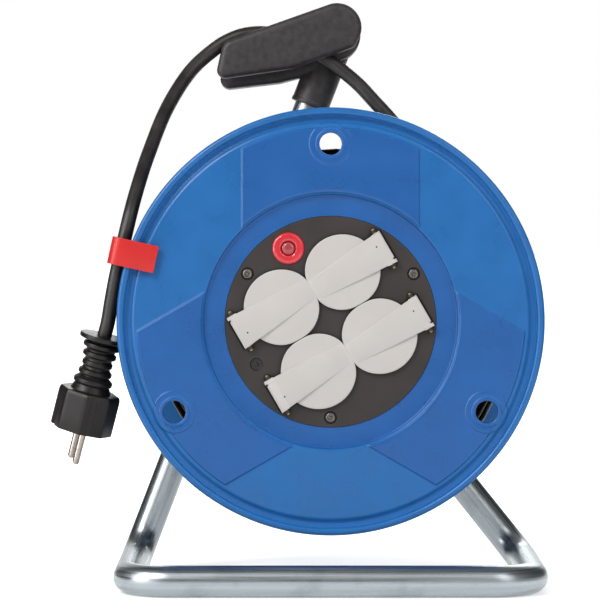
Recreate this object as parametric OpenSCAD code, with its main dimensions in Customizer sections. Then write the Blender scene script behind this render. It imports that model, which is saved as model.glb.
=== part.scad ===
// Extension cord reel: a steel tube stand carries a drum of flexible cable
// with four mains sockets, sprung lids and a thermal cut-out in its hub.

/* [Stand] */
// Outside diameter of the stand's steel tube
tube_d = 21.3; // [20:0.1:24]
// Wall of the stand's tube
tube_wall = 1.5; // [1:0.1:2.5]
// Half the distance between the two floor runs at the back
foot_half_rear = 138; // [134:1:146]
// Half the distance between the two floor runs at the front
foot_half_front = 134; // [130:1:142]
// How far the front floor bar lies ahead of the drum's front face
bar_ahead = 31; // [26:1:45]
// Bend radius of the front corners, on the tube's centreline
front_bend = 30; // [24:1:40]
// Bend radius from a floor run up into a leg
rear_bend = 40; // [30:1:50]
// Height of the drum's axis over the floor
axle_height = 183; // [178:1:200]
// Lean of the long leg, from upright, in degrees
main_lean = 21; // [19:0.5:22]

/* [Drum] */
// Outside radius of both flanges
flange_r = 145; // [142:0.5:148]
// Thickness of a flange's web
web_t = 4.8; // [4:0.1:5.5]
// Width between the two flanges
drum_gap = 98; // [94:1:104]
// Outside radius of the hub that the cable winds on
hub_r = 84; // [83:0.5:85]
// Wall of the hub
hub_wall = 3; // [2.5:0.1:4]
// Height of the raised fields round the finger holes
field_h = 1.2; // [0.8:0.1:1.6]
// Half width of a raised field
field_half = 60; // [52:1:66]
// Radius of the circle that the finger holes lie on
finger_pitch_r = 121; // [118:0.5:122]
// Radius of a finger hole
finger_r = 7.5; // [6:0.1:8.5]
// Radius of the larger hole in the rear flange
thread_hole_r = 11.5; // [9:0.5:13]

/* [Socket insert] */
// Radius of the socket plate
plate_r = 71.5; // [71:0.1:72]
// Thickness of the socket plate
plate_t = 3.6; // [3:0.1:4.5]
// Turn of the socket pattern, in degrees
insert_turn = 30; // [0:5:60]
// Distance of a socket's centre from the drum's axis
socket_pitch_r = 35.4; // [35:0.1:36.5]
// Radius of a socket's well
well_r = 19.7; // [19.5:0.1:20]
// Depth of a socket's well below the plate's face
well_depth = 17.5; // [17:0.1:18]
// Wall of a socket's well
well_wall = 2; // [1.6:0.1:2.4]
// Distance between a socket's two pin holes
pin_spacing = 19; // [18.6:0.1:19.4]
// Radius of a socket's pin hole
pin_hole_r = 2.6; // [2.5:0.05:2.9]

/* [Lids] */
// Radius of a lid's disc
lid_r = 24.7; // [23.5:0.1:24.9]
// Thickness of a lid's disc
lid_t = 2.6; // [2:0.1:3]
// Width of a lid's raised band at the hinge
band_w = 24; // [20:0.5:25]
// Width of a lid's raised band at its free end
band_tip_w = 17; // [12:0.5:20]
// Distance of the hinge pin from the socket's centre
hinge_out = 30.8; // [30.4:0.1:31]
// Radius of a hinge pin
hinge_pin_r = 1.2; // [1:0.05:1.4]
// Length of a hinge pin
hinge_pin_len = 30.4; // [29.5:0.1:31]

/* [Reset button] */
// Radius of the red collar round the button
collar_r = 11; // [10:0.1:11.3]
// Radius of the button's head
button_r = 4.35; // [3.5:0.05:4.8]
// Travel of the button
button_travel = 1.5; // [1:0.1:1.8]

/* [Axle] */
// Radius of the axle where the drum turns on it
axle_r = 8; // [7:0.1:9]
// Radius of the axle's threaded end
stud_r = 5; // [4:0.1:6]
// Length of the bearing in the drum
bearing_len = 50; // [40:1:52]

/* [Grip] */
// Height of the tube's upper end, inside the grip, over the drum's axis
tube_top_h = 197.8; // [190:0.5:204]
// Thickness of the grip's body, front to back
grip_t = 28; // [26:0.5:32]
// Thickness of the grip's front cheek
cheek_t = 7; // [5:0.5:8]
// Width of the cable guide between body and cheek
guide_gap = 10.8; // [10.6:0.1:13]
// Wall of the neck round the tube
neck_wall = 2.5; // [2:0.1:3]

/* [Cable] */
// Diameter of the cable
cable_d = 10; // [9.4:0.1:10.4]
// Distance between turns in the outer layer
turn_pitch = 10.51; // [10.45:0.01:10.8]

/* [Plug] */
// Radius of the plug's body
plug_r = 21.5; // [19:0.5:23]
// Length of the plug's body
plug_len = 27; // [24:0.5:32]
// Length of the ribbed strain relief
relief_len = 39; // [35:0.5:45]
// Radius of a plug pin
plug_pin_r = 2.4; // [2.4:0.05:2.5]
// Length of a plug pin
plug_pin_len = 19; // [18.5:0.5:20]

/* [Hidden] */
$fn = 96;

blue = "#2F6FB4";
black = "#2A2624";
plate_grey = "#3F3C3A";
lid_grey = "#D3CECA";
steel = "#B9BEC1";
brass = "#C8A45A";
red = "#E23A33";

skin = 0.01;          // how far a cutter passes a face that it opens
seat_gap = 0.05;      // radial gap of a fixed piece in its hole
run_gap = 0.05;       // radial gap of a pin or shaft that turns
face_gap = 0.3;       // gap between faces that move past each other

tube_r = tube_d / 2;
cable_r = cable_d / 2;
bend_thin = 0.15;     // how much thinner the tube is in a bend
bend_over = 2;        // how far a bend reaches into the straights, in degrees

// Depths are counted backwards from the plane of the raised fields on the front flange.
web_front = field_h;
web_back = web_front + web_t;
rear_web = web_back + drum_gap;
rear_face = rear_web + web_t;
rim_proud = 1.5;
rim_back = web_back + rim_proud;
rear_rim_back = rear_face + rim_proud;
dish_face = web_front + 3;
plate_face = 3.6;
plate_back = plate_face + plate_t;
ledge_t = 2;
hub_split = web_back + drum_gap / 2;
hub_in = hub_r - hub_wall;
tube_clear = 4.05;                           // between the rear rim and the tubes
tube_plane = rear_rim_back + tube_clear + tube_r;
nut_af = 17;
nut_t = 8;
washer_t = 2;
stud_over = 2;
stud_end = tube_plane + tube_r + washer_t + nut_t + stud_over;
front_reach = bar_ahead + tube_r;
face_y = (front_reach - stud_end) / 2;
axle_z = axle_height;

// The stand's path, as [x, height over the axis, -depth].
floor_run = tube_r - axle_z;
leg_left = [-foot_half_rear, floor_run, -tube_plane];
leg_right = [foot_half_rear, floor_run, -tube_plane];
bar_left = [-foot_half_front, floor_run, bar_ahead];
bar_right = [foot_half_front, floor_run, bar_ahead];
main_dir = [sin(main_lean), cos(main_lean), 0];
tube_top_len = (tube_top_h - floor_run) / cos(main_lean);
tube_top = leg_left + main_dir * tube_top_len;
brace_dir = [-foot_half_rear, -floor_run, 0] / norm([foot_half_rear, floor_run]);
// The right leg passes behind the axle and ends on the long leg.
brace_len = 2 * foot_half_rear * cos(main_lean)
            / (cos(main_lean) * -brace_dir.x + sin(main_lean) * brace_dir.y);
brace_end = leg_right + brace_dir * brace_len;

// Drum
rim_in = flange_r - 5.2;
groove_depth = 2.2;
plate_seat = 0.2;
field_out = flange_r - 13.5;
finger_angles = [90, 210, 330];
screw_angles = [30, 150, 270];
plate_screw_pitch = 65;
hub_screw_pitch = 75;

// Cable: the outer layer winds over a plain core and the lead leaves from its last turn.
layer_rise = 30.7;    // from the hub's face to the middle of the outer layer
layer_r = hub_r + layer_rise;
layer_slack = 0.5;
exit_angle = 20;
first_depth = web_back + layer_slack + cable_r;
last_depth = rear_web - layer_slack - cable_r;
turns = (last_depth - first_depth) / turn_pitch;
loop_rings = 24;
start_angle = exit_angle - 360 * turns;
core_out = layer_r * cos(180 / loop_rings) - cable_r - face_gap;

// Ends of the lead: its first point lies just past the winding's last face.
lead_joint = 0.05;
function on_layer(a, depth, along = 0) =
    [layer_r * cos(a) - along * sin(a), layer_r * sin(a) + along * cos(a), -depth];
// Route of the lead, as [x, height over the axis, -depth].
lead_hand = [
    [91, 77, -98.5], [77, 98, -98.5], [60, 120.5, -98.5], [40, 144.5, -98.7],
    [32, 154, -100.3], [21, 166.3, -103], [11, 174.8, -105], [2, 181.3, -106.4],
    [-10, 189, -106.6], [-22, 195.6, -106.6], [-35, 200.5, -106.6], [-48, 202.3, -106.6],
    [-61, 201, -106.6], [-73.5, 196, -106.6], [-85.8, 186.6, -104.8], [-96.4, 176.8, -99.5],
    [-103, 168.2, -93.5], [-111, 154, -83.5], [-116, 145, -76.3], [-122, 127.7, -63],
    [-128, 110.7, -49], [-132.5, 94, -35], [-136.5, 77.3, -23], [-139.8, 60.8, -16.6],
    [-142.6, 47.4, -16], [-146.8, 28.2, -16], [-149.8, 11.5, -18.4]];
clip_index = 24;      // the point of the route that the clip holds
// Where the cable enters the plug's strain relief, and the way the plug hangs.
plug_at = [-154.4, -10.2, -21];
plug_up = [0.25, 0.963, 0.1];
lead_route = concat([on_layer(exit_angle, last_depth, lead_joint)],
                    [on_layer(exit_angle, last_depth, cable_d + lead_joint)],
                    lead_hand,
                    [plug_at + plug_up * (cable_d + lead_joint)], [plug_at + plug_up * lead_joint]);

// ---- Helpers --------------------------------------------------------------

// Puts a shape drawn as [x, height over the axis, -depth] into the part's frame.
module on_drum() {
    translate([0, face_y, axle_z]) rotate([90, 0, 0]) children();
}

// A round bar from depth a to depth b, both counted backwards.
module bar(r, a, b) {
    translate([0, 0, -b]) cylinder(r = r, h = b - a);
}

// A ring from depth a to depth b.
module ring(r_in, r_out, a, b) {
    difference() {
        bar(r_out, a, b);
        bar(r_in, a - 1, b + 1);
    }
}

// Places its children at each of some angles, at a radius.
module round_places(radius, angles) {
    for (a = angles) rotate([0, 0, a]) translate([radius, 0, 0]) children();
}

function unit(v) = v / norm(v);
function across(u) = abs(u.z) < 0.9 ? unit(cross(u, [0, 0, 1])) : unit(cross(u, [1, 0, 0]));
function columns(x, y, z, o) =
    [[x.x, y.x, z.x, o.x], [x.y, y.y, z.y, o.y], [x.z, y.z, z.z, o.z], [0, 0, 0, 1]];

// A straight round rod between two points.
module rod(a, b, r) {
    u = unit(b - a);
    x = across(u);
    multmatrix(columns(x, cross(u, x), u, a)) cylinder(r = r, h = norm(b - a));
}

// A round bend at corner p between directions u and w.
function bend_angle(u, w) = acos(u * w);
function bend_reach(u, w, bend) = bend * tan(bend_angle(u, w) / 2);
module elbow(p, u, w, bend, r) {
    n = unit(w - u * (w * u));
    start = p - u * bend_reach(u, w, bend);
    multmatrix(columns(-n, u, cross(-n, u), start + n * bend))
        rotate([0, 0, -bend_over]) rotate_extrude(angle = bend_angle(u, w) + 2 * bend_over)
            translate([bend, 0]) circle(r = r - bend_thin);
}

// A bent tube's solid along corner points, with one bend radius per inner corner.
module bent_rod(points, bends, r) {
    last = len(points) - 1;
    dirs = [for (i = [0 : last - 1]) unit(points[i + 1] - points[i])];
    reach = [for (i = [0 : last])
        (i == 0 || i == last) ? 0 : bend_reach(dirs[i - 1], dirs[i], bends[i - 1])];
    for (i = [0 : last - 1])
        rod(points[i] + dirs[i] * reach[i], points[i + 1] - dirs[i] * reach[i + 1], r);
    for (i = [1 : last - 1]) elbow(points[i], dirs[i - 1], dirs[i], bends[i - 1], r);
}

// A tube of round section swept through points, as one closed polyhedron.
function tangent(p, i) =
    unit(p[min(i + 1, len(p) - 1)] - p[max(i - 1, 0)]);
// Sideways direction carried along the route without twisting.
function carried(p, i = 0, side = undef) =
    let (t = tangent(p, i),
         s = is_undef(side) ? across(t) : unit(side - t * (side * t)))
    i == len(p) - 1 ? [s] : concat([s], carried(p, i + 1, s));
module swept(p, r, sides, sides_dirs) {
    n = len(p);
    points = [for (i = [0 : n - 1])
        let (t = tangent(p, i), s = sides_dirs[i], b = cross(t, s))
        for (k = [0 : sides - 1])
            p[i] + (s * cos(360 * k / sides) + b * sin(360 * k / sides)) * r];
    walls = [for (i = [0 : n - 2]) for (k = [0 : sides - 1])
        let (a = i * sides + k, b = i * sides + (k + 1) % sides)
        each [[a, b, b + sides], [a, b + sides, a + sides]]];
    start = [for (k = [1 : sides - 2]) [0, k + 1, k]];
    end = [for (k = [1 : sides - 2])
        [(n - 1) * sides, (n - 1) * sides + k, (n - 1) * sides + k + 1]];
    polyhedron(points = points, faces = [for (f = concat(walls, start, end)) [f[0], f[2], f[1]]]);
}

// ---- Stand ----------------------------------------------------------------

stand_path = [tube_top, leg_left, bar_left, bar_right, leg_right, brace_end];
stand_bends = [rear_bend, front_bend, front_bend, rear_bend];
brace_stop = 18;      // length of the right leg's end that stays solid at its weld

// The stand is one tube, bent four times and welded to itself behind the drum.
module stand_tube() color(steel) on_drum() {
    inside = concat([tube_top + main_dir], [for (i = [1 : 4]) stand_path[i]],
                    [brace_end - brace_dir * brace_stop]);
    difference() {
        bent_rod(stand_path, stand_bends, tube_r);
        bent_rod(inside, stand_bends, tube_r - tube_wall);
        bar(stud_r + seat_gap, tube_plane - tube_d, tube_plane + tube_d);
        neck_screw_place() translate([0, 0, -tube_d]) cylinder(r = neck_screw_r + seat_gap, h = 2 * tube_d);
    }
}

// ---- Axle -----------------------------------------------------------------

bush_collar_t = 2;
bush_wall = 2.6;
bearing_front = rear_face - bearing_len;
saddle_front = rear_face + bush_collar_t + face_gap;
thrust_front = bearing_front - face_gap - washer_t;
clip_t = 1.2;
clip_mouth = 5;
clip_front = thrust_front - 0.05 - clip_t;
axle_front = clip_front - 3;
groove_r = axle_r - 0.8;
saddle_r = 14;

module axle() color(steel) on_drum() {
    difference() {
        bar(axle_r, axle_front, saddle_front);
        ring(groove_r, axle_r + 1, clip_front - 0.05, clip_front + clip_t + 0.05);
    }
    bar(stud_r, saddle_front - 1, stud_end);
}

// A spacer hollowed to sit on the round tube.
module axle_saddle() color(black) on_drum() {
    difference() {
        bar(saddle_r, saddle_front, tube_plane - 4);
        bar(stud_r + seat_gap, saddle_front - 1, tube_plane);
        rod(leg_right, brace_end, tube_r + seat_gap);
    }
}

module axle_rear_washer() color(steel) on_drum()
    ring(stud_r + seat_gap, 10, tube_plane + tube_r, tube_plane + tube_r + washer_t);

module axle_nut() color(steel) on_drum() {
    front = tube_plane + tube_r + washer_t;
    difference() {
        translate([0, 0, -front - nut_t]) cylinder(r = nut_af / 2 / cos(30), h = nut_t, $fn = 6);
        bar(stud_r + seat_gap, front - 1, front + nut_t + 1);
    }
}

module thrust_washer() color(steel) on_drum()
    ring(axle_r + run_gap, saddle_r - 1, thrust_front, thrust_front + washer_t);

module axle_circlip() color(steel) on_drum() {
    difference() {
        ring(groove_r + 0.05, axle_r + 2.4, clip_front, clip_front + clip_t);
        rotate([0, 0, 60]) translate([2, -clip_mouth / 2, -clip_front - clip_t - 1])
            cube([axle_r + 6, clip_mouth, clip_t + 2]);
    }
}

// ---- Grip -----------------------------------------------------------------

neck_r = tube_r + neck_wall;
grip_front = tube_plane - neck_r + 0.15;
cheek_back = grip_front - guide_gap;
cheek_front = cheek_back - cheek_t;
grip_back = grip_front + grip_t;
// Round corners of the two outlines, as [x, height, radius] from the tube's upper end.
cheek_corners = [[-0.6, 6.4, 19.5], [-71.6, -9.3, 9], [-77.6, -22.5, 6]];
body_corners = [[-0.6, 3.7, 19], [-70.1, -13.8, 9], [-75.1, -28.4, 6.4]];
// Posts of the body that the cheek is screwed to, clear of the cable.
posts = [[4.9, 8.2], [-62.1, -17.8]];
post_r = 6;
grip_screw_r = 2;
cheek_skin = 2;       // what is left of the cheek over a screw's end
neck_screw_r = 2.4;
neck_drop = 50;       // from the tube's upper end down to the neck's lower end
neck_low = tube_top_len - neck_drop;
neck_high = tube_top_len - 22.5;
neck_screw_up = 12;   // from the neck's lower end up to its screw

module outline(corners) {
    translate([tube_top.x, tube_top.y]) hull()
        for (c = corners) translate([c.x, c.y]) circle(r = c.z, $fn = 64);
}

// Places its children at each post.
module at_posts() {
    for (p = posts) translate([tube_top.x + p.x, tube_top.y + p.y, 0]) children();
}

// The fixing screw goes through the neck and the tube from behind.
module neck_screw_place() {
    translate(leg_left + main_dir * (neck_low + neck_screw_up)) children();
}

module grip_body() color(black) on_drum() {
    difference() {
        union() {
            translate([0, 0, -grip_back]) linear_extrude(grip_t) outline(body_corners);
            rod(leg_left + main_dir * neck_low, leg_left + main_dir * neck_high, neck_r);
            at_posts() bar(post_r, cheek_back, grip_front + 1);
        }
        rod(leg_left + main_dir * (neck_low - 1), tube_top + main_dir * 0.3, tube_r + seat_gap);
        at_posts() bar(grip_screw_r, cheek_back - 1, grip_front + 1);
        neck_screw_place() translate([0, 0, -neck_r - 5])
            cylinder(r = neck_screw_r + seat_gap, h = 2 * neck_r + 10);
    }
}

module grip_cheek() color(black) on_drum() {
    difference() {
        translate([0, 0, -cheek_back]) linear_extrude(cheek_t) outline(cheek_corners);
        at_posts() bar(grip_screw_r + seat_gap, cheek_front + cheek_skin, cheek_back + 1);
    }
}

// Set screws pressed into the posts from the guide side, hidden by the cheek's face.
module grip_screws() color(steel) on_drum()
    at_posts() bar(grip_screw_r, cheek_front + cheek_skin + 0.2, grip_front + 0.8);

module neck_screw() color(steel) on_drum() neck_screw_place() {
    translate([0, 0, -neck_r - 2.4]) cylinder(r = 4.4, h = 2.4);
    translate([0, 0, -neck_r - 1]) cylinder(r = neck_screw_r, h = neck_r + tube_r + 1.2);
}

// ---- Drum -----------------------------------------------------------------

rim_crest_r = (flange_r - rim_in) / 2;
rim_mid = (flange_r + rim_in) / 2;
crest_depth = rim_crest_r - rim_proud;
collar_wall = 2.3;
dish_w = 4.4;
dish_depth = 1.3;
groove_w = 3.6;

// Half section of the front flange and its half of the hub, as [radius, -depth].
front_profile = concat(
    [[hub_in, -hub_split], [hub_r, -hub_split], [hub_r, -web_back], [rim_in, -web_back],
     [rim_in, -rim_back], [flange_r - 1, -rim_back], [flange_r, -rim_back + 1]],
    [for (a = [0 : 15 : 180]) [rim_mid + rim_crest_r * cos(a), -crest_depth + rim_crest_r * sin(a)]],
    [[rim_in, -web_front - groove_depth], [rim_in - groove_w, -web_front - groove_depth],
     [rim_in - groove_w - 2.6, -web_front], [hub_r + 2.6, -web_front], [hub_r + 1.8, -dish_face],
     [plate_r + plate_seat, -dish_face], [plate_r + plate_seat, -plate_back],
     [plate_r - 2.5, -plate_back], [plate_r - 2.5, -plate_back - ledge_t],
     [hub_in, -plate_back - ledge_t]]);

plate_boss_end = plate_back + 17;
hub_boss_r = 4.5;
hub_screw_r = 2.4;
front_hub_boss = hub_split - 16;
gland_back = 22;      // from the split of the hub forward to the gland
gland_depth = hub_split - gland_back;
gland_angle = 300;
gland_r = 7.5;
gland_in = 6;         // how far the gland reaches into the hub
gland_under = 0.5;    // how far the gland's outer end lies below the hub's face

module front_flange() color(blue) on_drum() {
    difference() {
        union() {
            difference() {
                union() {
                    rotate_extrude($fn = 180) polygon(front_profile);
                    fields();
                }
                round_places(finger_pitch_r, finger_angles) translate([0, 0, -dish_depth])
                    cylinder(r1 = finger_r + collar_wall + 1, r2 = finger_r + collar_wall + dish_w,
                             h = dish_depth + skin);
            }
            round_places(finger_pitch_r, finger_angles)
                bar(finger_r + collar_wall, -0.4, web_back);
            round_places(plate_screw_pitch, screw_angles) {
                bar(hub_boss_r, plate_back + ledge_t / 2, plate_boss_end);
                translate([0, -1.5, -plate_boss_end])
                    cube([hub_in - plate_screw_pitch + 1, 3, plate_boss_end - plate_back - 1]);
            }
            round_places(hub_screw_pitch, finger_angles) {
                bar(hub_boss_r, front_hub_boss, hub_split);
                translate([0, -1.5, -hub_split])
                    cube([hub_in - hub_screw_pitch + 1, 3, hub_split - front_hub_boss]);
            }
        }
        round_places(finger_pitch_r, finger_angles) bar(finger_r, -2, web_back + 2);
        round_places(plate_screw_pitch, screw_angles)
            bar(screw_r + seat_gap, plate_back - 1, plate_boss_end - 2);
        round_places(hub_screw_pitch, finger_angles)
            bar(hub_screw_r + seat_gap, front_hub_boss + 2, hub_split + 1);
        gland_place() cylinder(r = gland_r + seat_gap, h = hub_wall + 8, center = true);
    }
}

// The three raised fields, each bounded by two parallel edges.
module fields() {
    translate([0, 0, -web_front - 1]) linear_extrude(web_front + 1)
        for (a = finger_angles) rotate(a) intersection() {
            difference() {
                circle(r = field_out, $fn = 180);
                circle(r = hub_r + 4, $fn = 180);
            }
            translate([0, -field_half]) square([flange_r, 2 * field_half]);
        }
}

boss_wall = 4.4;
boss_in = axle_r + bush_wall;
rear_profile = concat(
    [[boss_in, -bearing_front], [boss_in + boss_wall, -bearing_front],
     [boss_in + boss_wall, -rear_web], [hub_in, -rear_web], [hub_in, -hub_split],
     [hub_r, -hub_split], [hub_r, -rear_web], [flange_r, -rear_web]],
    [for (a = [0 : 15 : 180])
        [rim_mid + rim_crest_r * cos(a), -rear_rim_back + rim_crest_r - rim_crest_r * sin(a)]],
    [[rim_in, -rear_face + groove_depth], [rim_in - groove_w, -rear_face + groove_depth],
     [rim_in - groove_w - 2.6, -rear_face], [boss_in, -rear_face]]);

module rear_flange() color(blue) on_drum() {
    difference() {
        union() {
            rotate_extrude($fn = 180) polygon(rear_profile);
            round_places(hub_screw_pitch, finger_angles) {
                bar(hub_boss_r, hub_split, rear_web + 1);
                translate([0, -1.5, -rear_web - 1])
                    cube([hub_in - hub_screw_pitch + 1, 3, rear_web + 1 - hub_split]);
            }
        }
        translate([0, finger_pitch_r, 0]) bar(thread_hole_r, rear_web - 1, rear_face + 3);
        round_places(hub_screw_pitch, finger_angles) {
            bar(hub_screw_r + seat_gap, hub_split - 1, rear_face + 1);
            bar(hub_head_r + seat_gap, rear_face - hub_head_t, rear_face + 1);
        }
    }
}

hub_head_r = 4.2;
hub_head_t = 3;
module hub_screws() color(steel) on_drum()
    round_places(hub_screw_pitch, finger_angles) {
        bar(hub_head_r, rear_face - hub_head_t + 0.02, rear_face - 0.1);
        bar(hub_screw_r, front_hub_boss + 3, rear_face - hub_head_t + 1);
    }

module bearing_bush() color(black) on_drum() {
    ring(axle_r + run_gap, boss_in - 0.02, bearing_front, rear_face + 0.5);
    ring(axle_r + run_gap, saddle_r, rear_face + 0.02, rear_face + bush_collar_t);
}

// ---- Cable on the drum ----------------------------------------------------

climb_len = 12;       // shoulder where the cable comes up from the layer below

// Inner layers of cable as a plain ring, with the shoulder that the outer layer starts from.
module cable_core() color(black) on_drum() {
    ring(hub_r + face_gap, core_out, web_back + face_gap, rear_web - face_gap);
    rotate([0, 0, start_angle]) translate([0, 0, -first_depth]) rotate([90, 0, 0])
        translate([0, 0, cable_d + 0.05]) linear_extrude(climb_len) polygon([
            [core_out - 8, -cable_r], [layer_r + cable_r - 1, -cable_r],
            [layer_r + cable_r - 1, cable_r], [core_out - 8, cable_r]]);
}

wound_rings = ceil(turns * loop_rings);
function wound_point(i) =
    let (f = i / wound_rings) on_layer(start_angle + 360 * turns * f,
                                       first_depth + (last_depth - first_depth) * f);
winding_route = concat([on_layer(start_angle, first_depth, -cable_d)],
                       [for (i = [0 : wound_rings - 1]) wound_point(i)],
                       [on_layer(exit_angle, last_depth, -cable_d)], [on_layer(exit_angle, last_depth)]);
winding_sides = [for (p = winding_route) unit([p.x, p.y, 0])];
turned_sides = [for (i = [0 : len(winding_route) - 1])
    let (t = tangent(winding_route, i), s = winding_sides[i]) unit(s - t * (s * t))];

// Least distance between surfaces of turns that lie next to each other.
wound_gap = min([for (i = [0 : wound_rings - loop_rings]) for (j = [-2 : 2])
    let (k = min(i + loop_rings + j, wound_rings)) norm(wound_point(i) - wound_point(k))]) - cable_d;
echo(wound_gap = wound_gap, turns = turns);

module cable_winding() color(black) on_drum()
    swept(winding_route, cable_r, 6, turned_sides);

module gland_place() {
    rotate([0, 0, gland_angle]) translate([hub_in + hub_wall / 2, 0, -gland_depth])
        rotate([0, 90, 0]) children();
}

// A flanged sleeve that holds the cable where it passes through the hub.
module cable_gland() color(black) on_drum() gland_place()
    difference() {
        union() {
            translate([0, 0, -hub_wall / 2 - gland_in])
                cylinder(r = gland_r, h = hub_wall + gland_in - gland_under);
            translate([0, 0, -hub_wall / 2 - gland_in - 1.5]) cylinder(r = gland_r + 2, h = 2);
        }
        cylinder(r = cable_r + seat_gap, h = 4 * (hub_wall + gland_in), center = true);
    }

// The cable's inner end, from the hub wall to the wiring space.
module inner_tail() color(black) on_drum()
    rotate([0, 0, gland_angle]) translate([cover_r - 6, 0, -gland_depth]) rotate([0, 90, 0])
        cylinder(r = cable_r, h = hub_r - cover_r + 6);

// ---- Socket insert --------------------------------------------------------

floor_t = 3;
well_floor = plate_face + well_depth;
well_end = well_floor + floor_t;
socket_angles = [45, 135, 225, 315];
hinge_turns = [0, 180, 180, 0];   // where each lid's hinge lies in the turned pattern
screw_r = 1.9;
screw_head_r = 3.35;
screw_recess_r = 4.5;
screw_recess_depth = 1.2;
blank_r = 58;
collar_pitch_r = 57.3;
collar_angle = 120;
hinge_depth = 1.4;
band_front = -1.6;
tail_out = hinge_out + 3.4;
tail_r = norm([tail_out - hinge_out, hinge_depth - band_front]) + 0.1;
lug_w = 2;
lug_r = 2;
centre_boss_r = 5;
cover_r = 57.5;
cover_floor = 41;
cover_t = 2;
contact_end = 38;
bar_t = 1.2;
sleeve_r = 3.4;
bar_w = 5;

// Puts children at socket i, with +x towards its hinge.
module at_socket(i) {
    rotate([0, 0, insert_turn + socket_angles[i]]) translate([socket_pitch_r, 0, 0])
        rotate([0, 0, hinge_turns[i] - socket_angles[i]]) children();
}
module at_hinge(i) {
    at_socket(i) translate([hinge_out, 0, -hinge_depth]) rotate([90, 0, 0]) children();
}

module socket_plate() color(plate_grey) on_drum() {
    difference() {
        union() {
            bar(plate_r, plate_face, plate_back);
            for (i = [0 : 3]) {
                at_socket(i) bar(well_r + well_wall, plate_face, well_end);
                for (side = [-1, 1]) lug(i, side);
            }
            bar(centre_boss_r, plate_back - 1, cover_floor);
        }
        for (i = [0 : 3]) {
            at_socket(i) {
                bar(well_r, plate_face - 1, well_floor);
                for (side = [-1, 1]) translate([0, side * pin_spacing / 2, 0])
                    bar(pin_hole_r, well_floor - 1, well_end + 1);
                pocket();
            }
            at_hinge(i) cylinder(r = hinge_pin_r + seat_gap, h = hinge_pin_len + 1, center = true);
        }
        round_places(plate_screw_pitch, screw_angles) {
            bar(screw_r + seat_gap, plate_face - 1, plate_back + 1);
            bar(screw_recess_r, plate_face - 1, plate_face + screw_recess_depth);
        }
        rotate([0, 0, collar_angle + 90]) translate([blank_r, 0, 0])
            bar(screw_recess_r, plate_face - 1, plate_face + screw_recess_depth);
        round_places(collar_pitch_r, [collar_angle]) bar(collar_r + seat_gap, plate_face - 1, plate_back + 1);
        bar(screw_r + seat_gap, cover_floor - 14, cover_floor + 1);
    }
}

// Room for a lid's tail, which turns down as the lid opens.
module pocket() {
    half = band_w / 2 + face_gap;
    translate([hinge_out - tail_r, -half, -hinge_depth - tail_r])
        cube([2 * tail_r, 2 * half, tail_r + hinge_depth]);
}

// One of the two ears that hold a hinge pin.
module lug(i, side) {
    inner = band_w / 2 + face_gap;
    at_socket(i) translate([hinge_out, side * (inner + lug_w / 2), 0]) {
        translate([-lug_r, -lug_w / 2, -plate_face - 1]) cube([2 * lug_r, lug_w, plate_face + 1 - hinge_depth]);
        translate([0, 0, -hinge_depth]) rotate([90, 0, 0]) cylinder(r = lug_r, h = lug_w, center = true);
    }
}

module plate_screws() color(steel) on_drum()
    round_places(plate_screw_pitch, screw_angles) {
        bar(screw_r, plate_face + 0.5, plate_boss_end - 3);
        difference() {
            bar(screw_head_r, plate_face - 0.6, plate_face + screw_recess_depth);
            for (a = [0, 90]) rotate([0, 0, a]) translate([-2, -0.4, -plate_face - 0.3]) cube([4, 0.8, 2]);
        }
    }

module back_cover() color(black) on_drum() {
    difference() {
        bar(cover_r + cover_t, well_end, cover_floor + cover_t);
        bar(cover_r, well_end - 1, cover_floor);
        bar(screw_r + seat_gap, cover_floor - 1, cover_floor + cover_t + 1);
        round_places(collar_pitch_r, [collar_angle]) bar(cutout_r + 1, 0, cutout_end + 1);
        gland_slot();
    }
}

// Round notch in the cover's wall for the cable's inner end.
module gland_slot() {
    rotate([0, 0, gland_angle]) translate([cover_r - 4, 0, -gland_depth]) rotate([0, 90, 0])
        cylinder(r = cable_r + seat_gap, h = 12);
}

module cover_screw() color(steel) on_drum() {
    bar(screw_head_r, cover_floor + cover_t, cover_floor + cover_t + 2.4);
    bar(screw_r, cover_floor - 12, cover_floor + cover_t + 1);
}

module pin_contacts() color(brass) on_drum()
    for (i = [0 : 3]) at_socket(i) for (side = [-1, 1])
        translate([0, side * pin_spacing / 2, 0]) ring(plug_pin_r + seat_gap, sleeve_r, well_end, contact_end);

// The pin sleeves lie on two circles, so each pole has one ring-shaped bar.
half_turn = insert_turn + 45;
function sleeve_at(side) =
    norm([socket_pitch_r * cos(45), socket_pitch_r * sin(45) + side * pin_spacing / 2]);
module line_bar() color(brass) on_drum()
    ring(sleeve_at(-1) - bar_w / 2, sleeve_at(-1) + bar_w / 2, contact_end, contact_end + bar_t);
module neutral_bar() color(brass) on_drum()
    ring(sleeve_at(1) - bar_w / 2, sleeve_at(1) + bar_w / 2, contact_end, contact_end + bar_t);

// Two sprung earth strips stand on the floor of each well.
module earth_clips() color(steel) on_drum()
    for (i = [0 : 3]) at_socket(i) for (side = [0, 180]) rotate([0, 0, side])
        translate([well_r - 1.2, -2.5, -well_floor]) cube([0.8, 5, well_depth - 3]);

cutout_r = 10.5;
cutout_end = 34;
button_front = 0.6;
button_back = plate_back - button_travel - 0.5;
stem_r = 2.5;
module thermal_cutout() color(black) on_drum() round_places(collar_pitch_r, [collar_angle])
    difference() {
        bar(cutout_r, plate_back, cutout_end);
        bar(stem_r + run_gap, plate_back - 1, plate_back + 10);
    }

module reset_collar() color(red) on_drum() round_places(collar_pitch_r, [collar_angle])
    difference() {
        union() {
            bar(collar_r, plate_face - 0.6, plate_back);
            translate([0, 0, -plate_face + 0.6]) cylinder(r1 = collar_r, r2 = collar_r - 1.2, h = 1.2);
        }
        bar(button_r + face_gap, 0, plate_back + 1);
    }

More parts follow.
